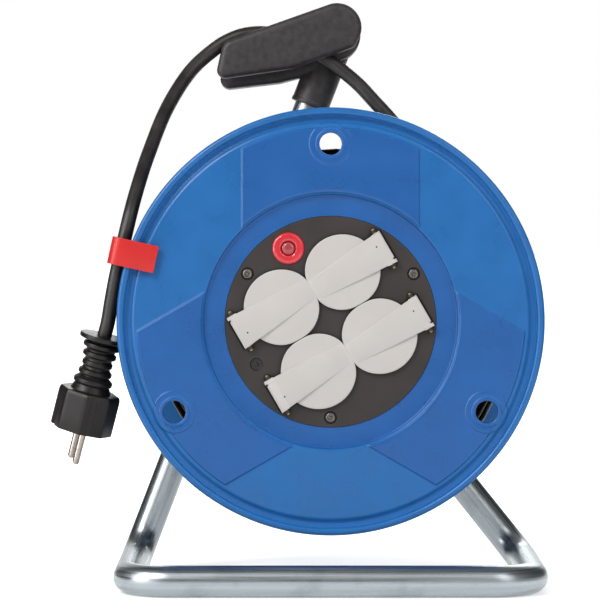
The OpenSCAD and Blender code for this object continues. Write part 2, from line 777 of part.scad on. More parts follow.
module reset_button() color(red) on_drum() round_places(collar_pitch_r, [collar_angle]) {
    bar(button_r, button_front + 1, button_back);
    translate([0, 0, -button_front - 1]) cylinder(r1 = button_r, r2 = button_r - 1.2, h = 1);
    bar(stem_r, button_back - 1, plate_back + 7);
}

// ---- Lids -----------------------------------------------------------------

lid_back = plate_face - face_gap;
lid_front = lid_back - lid_t;
spring_half = 3;
spring_r = 2;

module hinge_pins() color(brass) on_drum()
    for (i = [0 : 3]) at_hinge(i) cylinder(r = hinge_pin_r, h = hinge_pin_len, center = true);

// Each torsion spring as the plain sleeve that it fills round its pin.
module lid_springs() color(steel) on_drum()
    for (i = [0 : 3]) at_hinge(i) difference() {
        cylinder(r = spring_r, h = 2 * spring_half, center = true);
        cylinder(r = hinge_pin_r + run_gap, h = 3 * spring_half, center = true);
    }

module lid(i) color(lid_grey) on_drum() difference() {
    at_socket(i) {
        translate([0, 0, -lid_back]) linear_extrude(lid_t) intersection() {
            circle(r = lid_r);
            translate([0.5 - lid_r, -lid_r]) square(2 * lid_r);
        }
        translate([0, 0, -lid_back]) linear_extrude(lid_back - band_front) polygon([
            [tail_out, -band_w / 2], [tail_out, band_w / 2],
            [1 - lid_r, band_tip_w / 2], [1 - lid_r, -band_tip_w / 2]]);
    }
    at_hinge(i) {
        cylinder(r = hinge_pin_r + run_gap, h = hinge_pin_len, center = true);
        cylinder(r = spring_r + face_gap, h = 2 * (spring_half + face_gap), center = true);
    }
    at_socket(i) translate([hinge_out - spring_r - face_gap, -spring_half - face_gap, -lid_back - 1])
        cube([2 * (spring_r + face_gap), 2 * (spring_half + face_gap), lid_back + 1 - hinge_depth]);
}
module lid_1() lid(0);
module lid_2() lid(1);
module lid_3() lid(2);
module lid_4() lid(3);

// ---- Lead, clip and plug --------------------------------------------------

module cable_lead() color(black) on_drum()
    swept(lead_route, cable_r, 10, carried(lead_route));

band_t = 1.6;
clip_w = 18.6;
clip_lean = -12;
clip_reach = 27;
jaw_reach = 21;
clip_point = lead_hand[clip_index];
eye_r = cable_r + 0.5;
eye_out = eye_r + band_t;
clip_face = rim_proud + face_gap;          // how far the front tab lies ahead of the fields
jaw_depth = rim_back + face_gap;

// Side view of the clip, drawn as [towards the drum, depth].
module clip_band() {
    eye = -clip_point.z;
    fold = eye_r - clip_face;
    difference() {
        union() {
            translate([0, eye]) circle(r = eye_out);
            translate([0, fold]) circle(r = eye_out);
            translate([-eye_out, fold]) square([eye_out, eye - fold]);
            translate([0, jaw_depth]) square([eye_out, eye - jaw_depth]);
        }
        translate([0, eye]) circle(r = eye_r);
        translate([0, fold]) circle(r = eye_r);
        translate([-eye_r, fold]) square([2 * eye_r, eye - fold]);
        translate([0, -clip_face]) square([clip_reach, jaw_depth + clip_face]);
    }
    translate([0, -clip_face - band_t]) square([clip_reach, band_t]);
    translate([eye_r, jaw_depth]) square([jaw_reach - eye_r, band_t]);
}

// A folded plastic band: its front tab lies over the rim, its eye holds the lead
// and its short rear jaw grips behind the rim.
module cable_clip() color(red) on_drum()
    translate([clip_point.x, clip_point.y, 0]) rotate([0, 0, clip_lean])
        rotate([-90, 0, 0]) translate([0, 0, -clip_w / 2]) linear_extrude(clip_w) clip_band();

plug_tilt = [asin(plug_up.z), atan2(plug_up.x, plug_up.y)];
pin_turn = -74.4;
plug_facets = 12;
pin_tip = 1.2;        // length of a pin's tapered tip
pin_step = 0.4;       // how much thinner a pin's root in the body is
pin_root = 9;         // length of a pin's root
collar_t = 3;
relief_collar_r = 16.5;
relief_core_r = 8.8;
relief_end_r = 14;
relief_flare = 24;    // where the relief starts to widen towards the plug
rib_count = 6;
rib_pitch = 5.9;

// Places its children at the plug, +z up along the cable and +x towards the near pin.
module at_plug() {
    translate([plug_at.x, face_y - plug_at.z, axle_z + plug_at.y])
        rotate([plug_tilt[0], plug_tilt[1], 0]) rotate([0, 0, pin_turn]) children();
}

function rib_r(i) = i < rib_count - 2 ? 11.5 : 12 + 1.6 * (i - rib_count + 3);
function core_r(z) = z < relief_flare ? relief_core_r
    : relief_core_r + (relief_end_r - relief_core_r) * (z - relief_flare) / (relief_len - relief_flare);
relief_profile = concat(
    [[0, 0], [relief_collar_r - 0.6, 0], [relief_collar_r, -0.6],
     [relief_collar_r, -collar_t + 0.6], [relief_collar_r - 0.6, -collar_t]],
    [for (i = [0 : rib_count - 1]) let (z = collar_t + 2.6 + i * rib_pitch) each
        [[core_r(z - 1.6), -z + 1.6], [rib_r(i), -z + 0.9], [rib_r(i), -z - 0.9], [core_r(z + 1.6), -z - 1.6]]],
    [[relief_end_r, -relief_len], [0, -relief_len]]);

module plug_relief() color(black) at_plug()
    rotate_extrude() polygon(relief_profile);

module plug_body() color(black) at_plug()
    difference() {
        union() {
            translate([0, 0, -relief_len - 3]) cylinder(r1 = plug_r, r2 = plug_r - 1, h = 3, $fn = plug_facets);
            translate([0, 0, -relief_len - plug_len]) cylinder(r = plug_r, h = plug_len - 3, $fn = plug_facets);
        }
        for (side = [-1, 1]) {
            translate([side * pin_spacing / 2, 0, -relief_len - plug_len - 1])
                cylinder(r = plug_pin_r - pin_step + seat_gap, h = pin_root + 1.1);
            translate([side * (plug_r - 1), 0, -relief_len - plug_len / 2])
                cube([4, 3.4, plug_len + 1], center = true);
            translate([0, side * plug_r, -relief_len - plug_len])
                cube([6.4, 8, 2 * (plug_len - 8)], center = true);
        }
    }

module plug_pins() color(steel) at_plug()
    for (side = [-1, 1]) translate([side * pin_spacing / 2, 0, -relief_len - plug_len]) {
        translate([0, 0, -plug_pin_len + pin_tip]) cylinder(r = plug_pin_r, h = plug_pin_len - pin_tip);
        translate([0, 0, -plug_pin_len]) cylinder(r1 = plug_pin_r - 1, r2 = plug_pin_r, h = pin_tip);
        cylinder(r = plug_pin_r - pin_step, h = pin_root);
    }

module plug_earth_strips() color(steel) at_plug()
    for (side = [-1, 1]) translate([0, side * (plug_r - 4 + 0.45), -relief_len - plug_len + (plug_len - 8) / 2])
        cube([5.6, 0.8, plug_len - 8.1], center = true);

stand_tube();
axle();
axle_saddle();
axle_rear_washer();
axle_nut();
thrust_washer();
axle_circlip();
grip_body();
grip_cheek();
grip_screws();
neck_screw();
front_flange();
rear_flange();
hub_screws();
bearing_bush();
cable_core();
cable_winding();
cable_gland();
inner_tail();
socket_plate();
plate_screws();
back_cover();
cover_screw();
pin_contacts();
line_bar();
neutral_bar();
earth_clips();
thermal_cutout();
reset_collar();
reset_button();
hinge_pins();
lid_springs();
lid_1();
lid_2();
lid_3();
lid_4();
cable_lead();
cable_clip();
plug_relief();
plug_body();
plug_pins();
plug_earth_strips();
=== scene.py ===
"""Extension cord reel: a mains cable drum with four sockets in a bent tube stand.

Sizes are in millimetres. Most shapes are worked out in the drum's own frame, [x, height over the
axis, depth], where depth counts backwards from the raised fields on the drum's front.
"""
import logging
import math
from collections.abc import Callable, Sequence
from dataclasses import dataclass, field
from enum import Enum

import bmesh
import bpy
import numpy as np
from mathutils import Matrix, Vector
from numpy.typing import NDArray


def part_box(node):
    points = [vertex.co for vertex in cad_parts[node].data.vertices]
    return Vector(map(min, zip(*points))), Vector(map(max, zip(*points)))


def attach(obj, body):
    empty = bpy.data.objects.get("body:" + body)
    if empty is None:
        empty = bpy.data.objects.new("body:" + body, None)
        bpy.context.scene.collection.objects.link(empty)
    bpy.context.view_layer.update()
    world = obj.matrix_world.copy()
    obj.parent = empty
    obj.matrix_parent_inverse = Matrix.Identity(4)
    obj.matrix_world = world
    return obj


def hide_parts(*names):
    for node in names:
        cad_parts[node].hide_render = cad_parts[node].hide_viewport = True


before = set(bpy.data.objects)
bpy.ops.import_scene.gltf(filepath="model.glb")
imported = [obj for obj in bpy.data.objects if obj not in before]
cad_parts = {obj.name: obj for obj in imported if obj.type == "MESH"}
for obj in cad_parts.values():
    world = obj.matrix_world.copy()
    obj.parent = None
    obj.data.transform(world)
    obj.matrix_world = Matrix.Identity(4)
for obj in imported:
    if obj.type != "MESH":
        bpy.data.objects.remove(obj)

Array = NDArray[np.float64]
Place = Callable[[Array], Array]
LOG = logging.getLogger("reel")
MM = 0.001
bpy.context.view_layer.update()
CREST_LEAD = 1.5         # how far the front rim's crest stands before the drum's face
FACE_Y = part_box("front_flange")[0].y / MM + CREST_LEAD
AXLE_Z = (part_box("axle")[0].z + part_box("axle")[1].z) / 2 / MM


class Body(Enum):
    """The moving bodies that a piece can ride on."""

    STAND = "stand"
    DRUM = "drum"
    LID_1 = "lid_1"
    LID_2 = "lid_2"
    LID_3 = "lid_3"
    LID_4 = "lid_4"
    BUTTON = "reset_button"


# ---- Shapes -----------------------------------------------------------------


def unit(vectors: Array) -> Array:
    """Scales vectors to length one along their last axis."""
    return vectors / np.maximum(np.linalg.norm(vectors, axis=-1, keepdims=True), 1e-12)


def ease(t: Array) -> Array:
    """Smooth step from 0 to 1: 3t^2 - 2t^3, with t held between 0 and 1."""
    t = np.clip(t, 0.0, 1.0)
    return t * t * (3.0 - 2.0 * t)


def on_drum(points: Array) -> Array:
    """Turns [x, height over the axis, depth] in mm into scene metres."""
    return np.stack([points[..., 0], points[..., 2] + FACE_Y, points[..., 1] + AXLE_Z], -1) * MM


def polar(radius: Array | float, degrees: Array | float) -> Array:
    """The point (r cos a, r sin a) for each radius and angle."""
    a = np.radians(degrees)
    return np.stack(np.broadcast_arrays(radius * np.cos(a), radius * np.sin(a)), -1)


def turned(points: Array, degrees: float, shift: Sequence[float] = (0.0, 0.0)) -> Array:
    """Turns points about the depth axis, to (x cos t - y sin t, x sin t + y cos t), then moves them.

    Args:
        points: points [x, y, depth].
        degrees: how far they turn.
        shift: how far they move in x and y afterwards.

    Returns:
        The points in their new place.
    """
    c, s = math.cos(math.radians(degrees)), math.sin(math.radians(degrees))
    x, y = points[..., 0], points[..., 1]
    return np.stack([x * c - y * s + shift[0], x * s + y * c + shift[1], points[..., 2]], -1)


@dataclass
class Surface:
    """Points and four-cornered faces, with values at the points that a pattern follows."""

    points: Array
    faces: NDArray[np.int64]
    marks: dict[str, Array] = field(default_factory=dict)

    @classmethod
    def of_grid(cls, grid: Array, ring_rows: bool = False, keep: NDArray[np.bool_] | None = None,
                **marks: Array) -> "Surface":
        """Makes the faces between neighbouring rows and columns of a grid whose columns form a ring.

        Args:
            grid: points, shaped (rows, columns, 3).
            ring_rows: whether the last row joins the first.
            keep: which of the faces stay, shaped as the faces are.
            marks: values at each point, by name.

        Returns:
            The surface.
        """
        rows, columns = grid.shape[:2]
        i, j = np.meshgrid(np.arange(rows - (not ring_rows)), np.arange(columns), indexing="ij")
        k, m = (i + 1) % rows, (j + 1) % columns
        faces = np.stack([i * columns + j, i * columns + m, k * columns + m, k * columns + j], -1)
        kept = faces.reshape(-1, 4) if keep is None else faces[keep[:len(faces)]]
        return cls(grid.reshape(-1, 3), kept,
                   {name: value.reshape(rows * columns, -1) for name, value in marks.items()})

    def moved(self, place: Place) -> "Surface":
        """The same surface with its points put through a placing function."""
        return Surface(place(self.points), self.faces, self.marks)


def joined(parts: Sequence[Surface]) -> Surface:
    """Puts surfaces together as one.

    Args:
        parts: surfaces that have the same marks.

    Returns:
        One surface, in which each part keeps its own points.
    """
    starts = np.cumsum([0] + [len(part.points) for part in parts[:-1]])
    return Surface(np.concatenate([part.points for part in parts]),
                   np.concatenate([part.faces + start for part, start in zip(parts, starts)]),
                   {name: np.concatenate([part.marks[name] for part in parts]) for name in parts[0].marks})


def rounded(corners: Sequence[Sequence[float]], closed: bool = False, steps: int = 5) -> Array:
    """Rounds the corners of an outline.

    Each corner B is [x, y, cut] and gives the curve (1-t)^2 A + 2t(1-t) B + t^2 C, where A and C
    lie on its two sides at the distance cut.

    Args:
        corners: the corners in order.
        closed: whether the last corner joins the first; otherwise the two ends stay sharp.
        steps: points per corner.

    Returns:
        Points [x, y] of the outline.
    """
    data = np.asarray(corners, float)
    corner, cut = data[:, :2], data[:, 2:].copy()
    if not closed:
        cut[[0, -1]] = 0.0
    a = corner + unit(np.roll(corner, 1, 0) - corner) * cut
    c = corner + unit(np.roll(corner, -1, 0) - corner) * cut
    t = np.linspace(0.0, 1.0, steps)[None, :, None]
    return ((1 - t) ** 2 * a[:, None] + 2 * t * (1 - t) * corner[:, None] + t**2 * c[:, None]).reshape(-1, 2)


def lathe(profile: Array, columns: int = 64, closed: bool = False) -> Surface:
    """Turns a profile about the third axis: (r cos a, r sin a, s) for each point [r, s] and angle a.

    Args:
        profile: points [distance from the axis, distance along it].
        columns: how many angles.
        closed: whether the profile's end joins its start.

    Returns:
        The turned surface.
    """
    a = np.linspace(0.0, 2 * np.pi, columns, endpoint=False)
    grid = np.stack([profile[:, :1] * np.cos(a), profile[:, :1] * np.sin(a),
                     np.broadcast_to(profile[:, 1:], (len(profile), columns))], -1)
    return Surface.of_grid(grid, ring_rows=closed)


def belt(circles: Sequence[Sequence[float]], count: int) -> tuple[Array, Array]:
    """Pulls an outline tight round circles [x, y, r].

    In each direction n the outline's point is c + r n of the circle whose c.n + r is largest; the
    points are then spread evenly along its length.

    Args:
        circles: the circles, in any order.
        count: how many points.

    Returns:
        Points and outward directions, each shaped (count, 2).
    """
    data = np.asarray(circles, float)
    n = polar(1.0, np.linspace(0.0, 360.0, 2881))
    best = data[np.argmax(n @ data[:, :2].T + data[:, 2], axis=1)]
    p = best[:, :2] + best[:, 2:] * n
    s = np.concatenate([[0.0], np.cumsum(np.linalg.norm(np.diff(p, axis=0), axis=1))])
    even = np.linspace(0.0, s[-1], count, endpoint=False)
    spread = [np.stack([np.interp(even, s, v[:, k]) for k in (0, 1)], -1) for v in (p, n)]
    return spread[0], unit(spread[1])


def prism(outline: Array, outward: Array, section: Sequence[Sequence[float]],
          crowns: tuple[float, float]) -> Surface:
    """Makes a solid with a rounded section: row k is outline - inset_k * outward, at depth_k.

    Args:
        outline: points [x, y].
        outward: direction at each point.
        section: rows [inset, depth] from the front to the back.
        crowns: how far the middle of the front and of the back stands out, as crown * (1 - f^2)
            where f runs from 0 in the middle to 1 at the edge.

    Returns:
        The closed surface in [x, y, depth].
    """
    rows = np.asarray(section, float)
    flat = outline[None] - rows[:, None, :1] * outward[None]
    wall = np.concatenate([flat, np.broadcast_to(rows[:, None, 1:], flat.shape[:2] + (1,))], -1)

    def cap(edge: Array, lift: float) -> Array:
        """Shrinks an edge to its middle.

        Args:
            edge: the edge.
            lift: how far the middle stands out.

        Returns:
            Rows from the middle to just inside the edge.
        """
        f = np.linspace(0.0, 1.0, 7)[:-1, None, None]
        middle = edge.mean(0)
        return middle + (edge - middle) * f + np.array([0.0, 0.0, lift]) * (1 - f**2)

    return Surface.of_grid(np.concatenate([cap(wall[0], -crowns[0]), wall, cap(wall[-1], crowns[1])[::-1]]))


def bent(corners: Sequence[Sequence[float]], radii: Sequence[float], steps: int = 20) -> Array:
    """Joins straight runs between corners by arcs.

    With u and w the directions before and after a corner and n at a right angle to u towards w,
    the arc is centre - n r cos(t) + u r sin(t).

    Args:
        corners: corner points, shaped (n, 3).
        radii: radius of the bend at each inner corner.
        steps: points per bend.

    Returns:
        Points of the path.
    """
    p = np.asarray(corners, float)
    u = unit(np.diff(p, axis=0))
    path = [p[:1]]
    for k, radius in enumerate(radii):
        angle = math.acos(float(u[k] @ u[k + 1]))
        n = unit(u[k + 1] - u[k] * (u[k] @ u[k + 1]))
        start = p[k + 1] - u[k] * radius * math.tan(angle / 2)
        t = np.linspace(0.0, angle, steps)[:, None]
        path.append(start + n * radius * (1 - np.cos(t)) + u[k] * radius * np.sin(t))
    return np.concatenate(path + [p[-1:]])


def smooth_path(points: Array, step: float) -> Array:
    """Draws a cubic curve through points, each piece h00 P + h10 M + h01 Q + h11 N in Hermite's form.

    Slopes M and N are the differences along the length of the chords.

    Args:
        points: points that the curve passes through.
        step: about how far apart the curve's points lie.

    Returns:
        Points of the curve.
    """
    s = np.concatenate([[0.0], np.cumsum(np.linalg.norm(np.diff(points, axis=0), axis=1))])
    slope = np.gradient(points, s, axis=0)
    at = np.linspace(0.0, s[-1], int(s[-1] / step) + 2)
    k = np.clip(np.searchsorted(s, at, side="right") - 1, 0, len(s) - 2)
    h = (s[k + 1] - s[k])[:, None]
    t = (at - s[k])[:, None] / h
    return ((2 * t**3 - 3 * t**2 + 1) * points[k] + (t**3 - 2 * t**2 + t) * h * slope[k]
            + (3 * t**2 - 2 * t**3) * points[k + 1] + (t**3 - t**2) * h * slope[k + 1])


def carried(path: Array) -> Array:
    """Carries a sideways direction along a path without twisting it.

    Each direction is the one before it, less its part along the path, at length one again.

    Args:
        path: points of the path.

    Returns:
        The direction at each point.
    """
    ahead = unit(np.gradient(path, axis=0))
    side = np.empty_like(path)
    here = np.cross(ahead[0], (0.0, 0.0, 1.0) if abs(ahead[0, 2]) < 0.9 else (1.0, 0.0, 0.0))
    for k, along in enumerate(ahead):
        here = unit(here - along * (here @ along))
        side[k] = here
    return side


def hose(path: Array, radius: float, sides: int, side: Array | None = None) -> Surface:
    """Makes a closed round tube along a path: P + (side cos a + up sin a) r.

    Up is at right angles to the path and to side, and r falls to nought at both ends.
    Its mark "flow" is (r cos a, r sin a, length so far) in metres, so that a pattern runs along it.

    Args:
        path: points of the centreline.
        radius: the tube's radius.
        sides: points round the section.
        side: sideways direction at each point, or None to carry one along.

    Returns:
        The surface.
    """
    side = carried(path) if side is None else side
    ahead = unit(np.gradient(path, axis=0))
    side = unit(side - ahead * np.sum(side * ahead, -1, keepdims=True))
    path, side, ahead = (np.concatenate([v[:1], v, v[-1:]]) for v in (path, side, ahead))
    a = np.linspace(0.0, 2 * np.pi, sides, endpoint=False)[None, :, None]
    ring = side[:, None] * np.cos(a) + np.cross(ahead, side)[:, None] * np.sin(a)
    s = np.concatenate([[0.0], np.cumsum(np.linalg.norm(np.diff(path, axis=0), axis=1))])
    r = np.full((len(path), 1, 1), radius)
    r[[0, -1]] = 0.0
    length = np.broadcast_to(s[:, None, None], (len(s), sides, 1))
    flow = np.concatenate([r * np.cos(a), r * np.sin(a), length], -1)
    return Surface.of_grid(path[:, None] + ring * r, flow=flow * MM)


# ---- Finishes ---------------------------------------------------------------


def linear(colour: str, factor: float = 1.0) -> tuple[float, float, float, float]:
    """Turns an sRGB colour into the linear values that shaders take.

    Args:
        colour: the colour as "#RRGGBB".
        factor: how much lighter it gets.

    Returns:
        Red, green and blue from 0 to 1, and an alpha of 1.
    """
    values = [int(colour[i:i + 2], 16) / 255 for i in (1, 3, 5)]
    values = [v / 12.92 if v <= 0.04045 else ((v + 0.055) / 1.055) ** 2.4 for v in values]
    return (*[min(v * factor, 1.0) for v in values], 1.0)


def add_node(tree: bpy.types.NodeTree, kind: str, inputs: dict | None = None, output: int | str = 0,
             **settings: object) -> bpy.types.NodeSocket:
    """Adds a shader node with its settings and links.

    Args:
        tree: where the node goes.
        kind: the node's type.
        inputs: for each input's name or number, the socket to link to it or the value to set.
        output: name or number of the output that is wanted.
        settings: properties of the node.

    Returns:
        The wanted output.
    """
    node = tree.nodes.new(kind)
    for key, value in settings.items():
        setattr(node, key, value)
    for key, value in (inputs or {}).items():
        if isinstance(value, bpy.types.NodeSocket):
            tree.links.new(value, node.inputs[key])
        else:
            node.inputs[key].default_value = value
    return node.outputs[output]


def clouds(tree: bpy.types.NodeTree, where: bpy.types.NodeSocket, size: float, low: float, high: float,
           detail: float = 4.0) -> bpy.types.NodeSocket:
    """Makes a cloudy pattern: noise, stretched so that its middle range fills low to high.

    Args:
        tree: where the nodes go.
        where: coordinates in metres that the pattern follows.
        size: about how many mm wide its patches are.
        low: value in the deepest patches.
        high: value in the highest.
        detail: how many finer patterns lie on top.

    Returns:
        The pattern's value.
    """
    value = add_node(tree, "ShaderNodeTexNoise",
                     {"Vector": where, "Scale": 1.0 / (size * MM), "Detail": detail})
    return add_node(tree, "ShaderNodeMapRange",
                    {"Value": value, "From Min": 0.32, "From Max": 0.68, "To Min": low, "To Max": high})


def edges_for_wear_and_highlight(tree: bpy.types.NodeTree, reach: float) -> bpy.types.NodeSocket:
    """Finds the edges of a piece, where its rounded normal leaves its own, so that they can be paled as wear
    and as a painted highlight.

    Args:
        tree: where the nodes go.
        reach: how many mm from an edge still count.

    Returns:
        One at an edge and nought on flats.
    """
    soft = add_node(tree, "ShaderNodeBevel", {"Radius": reach * MM}, samples=6)
    true = add_node(tree, "ShaderNodeNewGeometry", output="Normal")
    same = add_node(tree, "ShaderNodeVectorMath", {0: soft, 1: true}, "Value", operation="DOT_PRODUCT")
    return add_node(tree, "ShaderNodeMapRange",
                    {"Value": same, "From Min": 0.9, "From Max": 0.995, "To Min": 1.0, "To Max": 0.0})


def painted_wall_shade(tree: bpy.types.NodeTree, reach: float, closed: float, low: float) -> bpy.types.NodeSocket:
    """Paints shade into places that walls close in, by the share of the sky that the nearby walls leave open.

    Args:
        tree: where the nodes go.
        reach: how many mm away a wall still counts.
        closed: open share at which a place is darkest.
        low: value at the darkest places.

    Returns:
        One in the open, falling to the low value.
    """
    open_air = add_node(tree, "ShaderNodeAmbientOcclusion", {"Distance": reach * MM}, "AO", samples=8)
    return add_node(tree, "ShaderNodeMapRange", {"Value": open_air, "From Min": closed, "From Max": 0.95,
                                                 "To Min": low, "To Max": 1.0})


@dataclass(frozen=True)
class Finish:
    """What all finishes share: a name, a colour and a roughness."""

    name: str
    colour: str
    roughness: float = 0.4

    def material(self) -> bpy.types.Material:
        """Makes the finish's material the first time that it is asked for.

        Returns:
            The material.
        """
        found = bpy.data.materials.get(self.name)
        if not found:
            found = bpy.data.materials.new(self.name)
            found.use_nodes = True
            self.paint(found.node_tree, found.node_tree.nodes["Principled BSDF"])
        return found

    def paint(self, tree: bpy.types.NodeTree, shader: bpy.types.Node) -> None:
        """Adds the nodes of the finish to its tree and sets up its shader.

        Args:
            tree: the material's tree.
            shader: its shader.
        """
        raise NotImplementedError

    def surface(self, tree: bpy.types.NodeTree, shader: bpy.types.Node, colour: bpy.types.NodeSocket,
                roughness: bpy.types.NodeSocket, height: bpy.types.NodeSocket, relief: float) -> None:
        """Links the patterns that every finish has.

        Args:
            tree: the material's tree.
            shader: its shader.
            colour: the surface's colour.
            roughness: its roughness.
            height: its fine relief, from 0 to 1.
            relief: how many mm that relief is high.
        """
        tree.links.new(colour, shader.inputs["Base Color"])
        tree.links.new(roughness, shader.inputs["Roughness"])
        bump = add_node(tree, "ShaderNodeBump", {"Height": height, "Distance": relief * MM, "Strength": 0.7})
        tree.links.new(bump, shader.inputs["Normal"])


@dataclass(frozen=True)
class Moulded(Finish):
    """Moulded plastic or rubber: fine grain, faint clouding, edges paled partly by wear and partly as a painted
    highlight, and painted shade in crevices.

    Sizes are in mm.
    """

    grain: float = 0.45          # size of the grain
    relief: float = 0.012        # height of the grain
    cloud: float = 26.0          # size of the patches in which the colour wanders
    clouding: float = 0.06       # how far it wanders, as a share
    edge_wear_and_highlight: float = 0.18         # how much paler the edges are, as wear and as a painted highlight
    reach: float = 0.5           # how far the paler edges reach
    painted_crevice_shade: float = 0.0         # width of the crevices that painted shade darkens
    toned: str = ""              # colour of the parts marked with tone
    gloss: float = 0.35          # how strongly it mirrors, where 0.5 is plain plastic
    coat: float = 0.0            # how much of a wet-looking skin it has
    softness: float = 0.0        # how much light scatters inside

    def plain(self, tree: bpy.types.NodeTree) -> bpy.types.NodeSocket | tuple[float, ...]:
        """Gives the plain colour, or a mix of the two colours where parts are toned.

        Args:
            tree: the material's tree.

        Returns:
            The colour.
        """
        if not self.toned:
            return linear(self.colour)[:3]
        tone = add_node(tree, "ShaderNodeAttribute", output="Fac", attribute_name="tone")
        return add_node(tree, "ShaderNodeMix", {0: tone, 6: linear(self.colour), 7: linear(self.toned)}, 2,
                        data_type="RGBA")

    def paint(self, tree: bpy.types.NodeTree, shader: bpy.types.Node) -> None:
        """Adds clouding, edges paled by wear and a painted highlight, painted shade in crevices, and grain, on
        object coordinates.

        Args:
            tree: the material's tree.
            shader: its shader.
        """
        where = add_node(tree, "ShaderNodeTexCoord", output="Object")
        shade = clouds(tree, where, self.cloud, 1 - self.clouding, 1 + self.clouding)
        base = add_node(tree, "ShaderNodeVectorMath", {0: self.plain(tree), "Scale": shade}, operation="SCALE")
        pale = linear(self.colour, 1 + 2.4 * self.edge_wear_and_highlight)
        # Edges go paler: partly wear, partly a painted highlight.
        wear_and_painted_light = add_node(tree, "ShaderNodeMix", {0: edges_for_wear_and_highlight(tree, self.reach), 6: base, 7: pale}, 2,
                        data_type="RGBA")
        # Painted shade: the crevices go dark.
        if self.painted_crevice_shade:
            wear_and_painted_light = add_node(tree, "ShaderNodeVectorMath",
                            {0: wear_and_painted_light, "Scale": painted_wall_shade(tree, self.painted_crevice_shade, 0.35, 0.12)}, operation="SCALE")
        rough = clouds(tree, where, self.cloud, self.roughness - 0.05, self.roughness + 0.05)
        grain = add_node(tree, "ShaderNodeTexNoise",
                         {"Vector": where, "Scale": 1.0 / (self.grain * MM), "Detail": 2.0})
        self.surface(tree, shader, wear_and_painted_light, rough, grain, self.relief)
        shader.inputs["Specular IOR Level"].default_value = self.gloss
        shader.inputs["Coat Weight"].default_value = self.coat
        shader.inputs["Coat Roughness"].default_value = 0.12
        shader.inputs["Subsurface Weight"].default_value = self.softness
        shader.inputs["Subsurface Scale"].default_value = 0.002


@dataclass(frozen=True)
class Sheath(Finish):
    """Cable sheath of black rubber: drawn lengthwise, and dusty in patches. Sizes are in mm."""

    dust: float = 14.0           # size of the dusty patches
    drawn: float = 0.45          # width of the drawing marks
    drawn_relief: float = 0.02   # height of the drawing marks
    gloss: float = 0.6           # how strongly it mirrors, where 0.5 is plain plastic
    painted_shelter_shade: float = 0.0         # how far away walls still cast painted shade on it

    def paint(self, tree: bpy.types.NodeTree, shader: bpy.types.Node) -> None:
        """Adds dust and drawing marks that follow the cable's length, and painted shade between walls on its
        colour and its reflection.

        Args:
            tree: the material's tree.
            shader: its shader.
        """
        flow = add_node(tree, "ShaderNodeAttribute", output="Vector", attribute_name="flow")
        along = add_node(tree, "ShaderNodeMapping", {"Vector": flow, "Scale": (1.0, 1.0, 0.06)})
        dusty = clouds(tree, flow, self.dust, -0.3, 1.0)
        colour = add_node(tree, "ShaderNodeMix",
                          {0: dusty, 6: linear(self.colour), 7: linear(self.colour, 1.7)}, 2, data_type="RGBA")
        shader.inputs["Specular IOR Level"].default_value = self.gloss
        # Painted shade: beside walls the colour and the reflection go dark.
        if self.painted_shelter_shade:
            painted_light_share = painted_wall_shade(tree, self.painted_shelter_shade, 0.5, 0.02)
            colour = add_node(tree, "ShaderNodeVectorMath", {0: colour, "Scale": painted_light_share}, operation="SCALE")
            gloss = add_node(tree, "ShaderNodeMath", {0: painted_light_share, 1: self.gloss}, operation="MULTIPLY")
            tree.links.new(gloss, shader.inputs["Specular IOR Level"])
        rough = clouds(tree, flow, self.dust, self.roughness - 0.06, self.roughness + 0.1)
        self.surface(tree, shader, colour, rough, clouds(tree, along, self.drawn, 0.0, 1.0, 2.0),
                     self.drawn_relief)


@dataclass(frozen=True)
class DrawnTube(Finish):
    """Zinc-plated steel tube: drawing streaks and faint scratches run along it. Sizes are in mm."""

    streak: float = 1.1          # width of the fine streaks
    band: float = 5.0            # width of the broad ones
    stretch: float = 0.012       # how much wider than long they are, as a share
    stain: float = 18.0          # size of the duller patches
    relief: float = 0.03         # height of the streaks

    def paint(self, tree: bpy.types.NodeTree, shader: bpy.types.Node) -> None:
        """Adds streaks that follow the tube's length, and duller patches between them.

        Args:
            tree: the material's tree.
            shader: its shader.
        """
        flow = add_node(tree, "ShaderNodeAttribute", output="Vector", attribute_name="flow")
        along = add_node(tree, "ShaderNodeMapping", {"Vector": flow, "Scale": (1.0, 1.0, self.stretch)})
        shade = add_node(tree, "ShaderNodeMix", {0: clouds(tree, along, self.band, 0.0, 1.0),
                                                 6: linear(self.colour, 0.8), 7: linear(self.colour, 1.12)},
                         2, data_type="RGBA")
        shade = add_node(tree, "ShaderNodeMix", {0: clouds(tree, flow, self.stain, -0.6, 0.5), 6: shade,
                                                 7: linear(self.colour, 0.7)}, 2, data_type="RGBA")
        streaks = clouds(tree, along, self.streak, 0.0, 1.0)
        rough = add_node(tree, "ShaderNodeMapRange", {"Value": streaks, "To Min": self.roughness - 0.08,
                                                      "To Max": self.roughness + 0.1})
        self.surface(tree, shader, shade, rough, streaks, self.relief)
        shader.inputs["Metallic"].default_value = 1.0


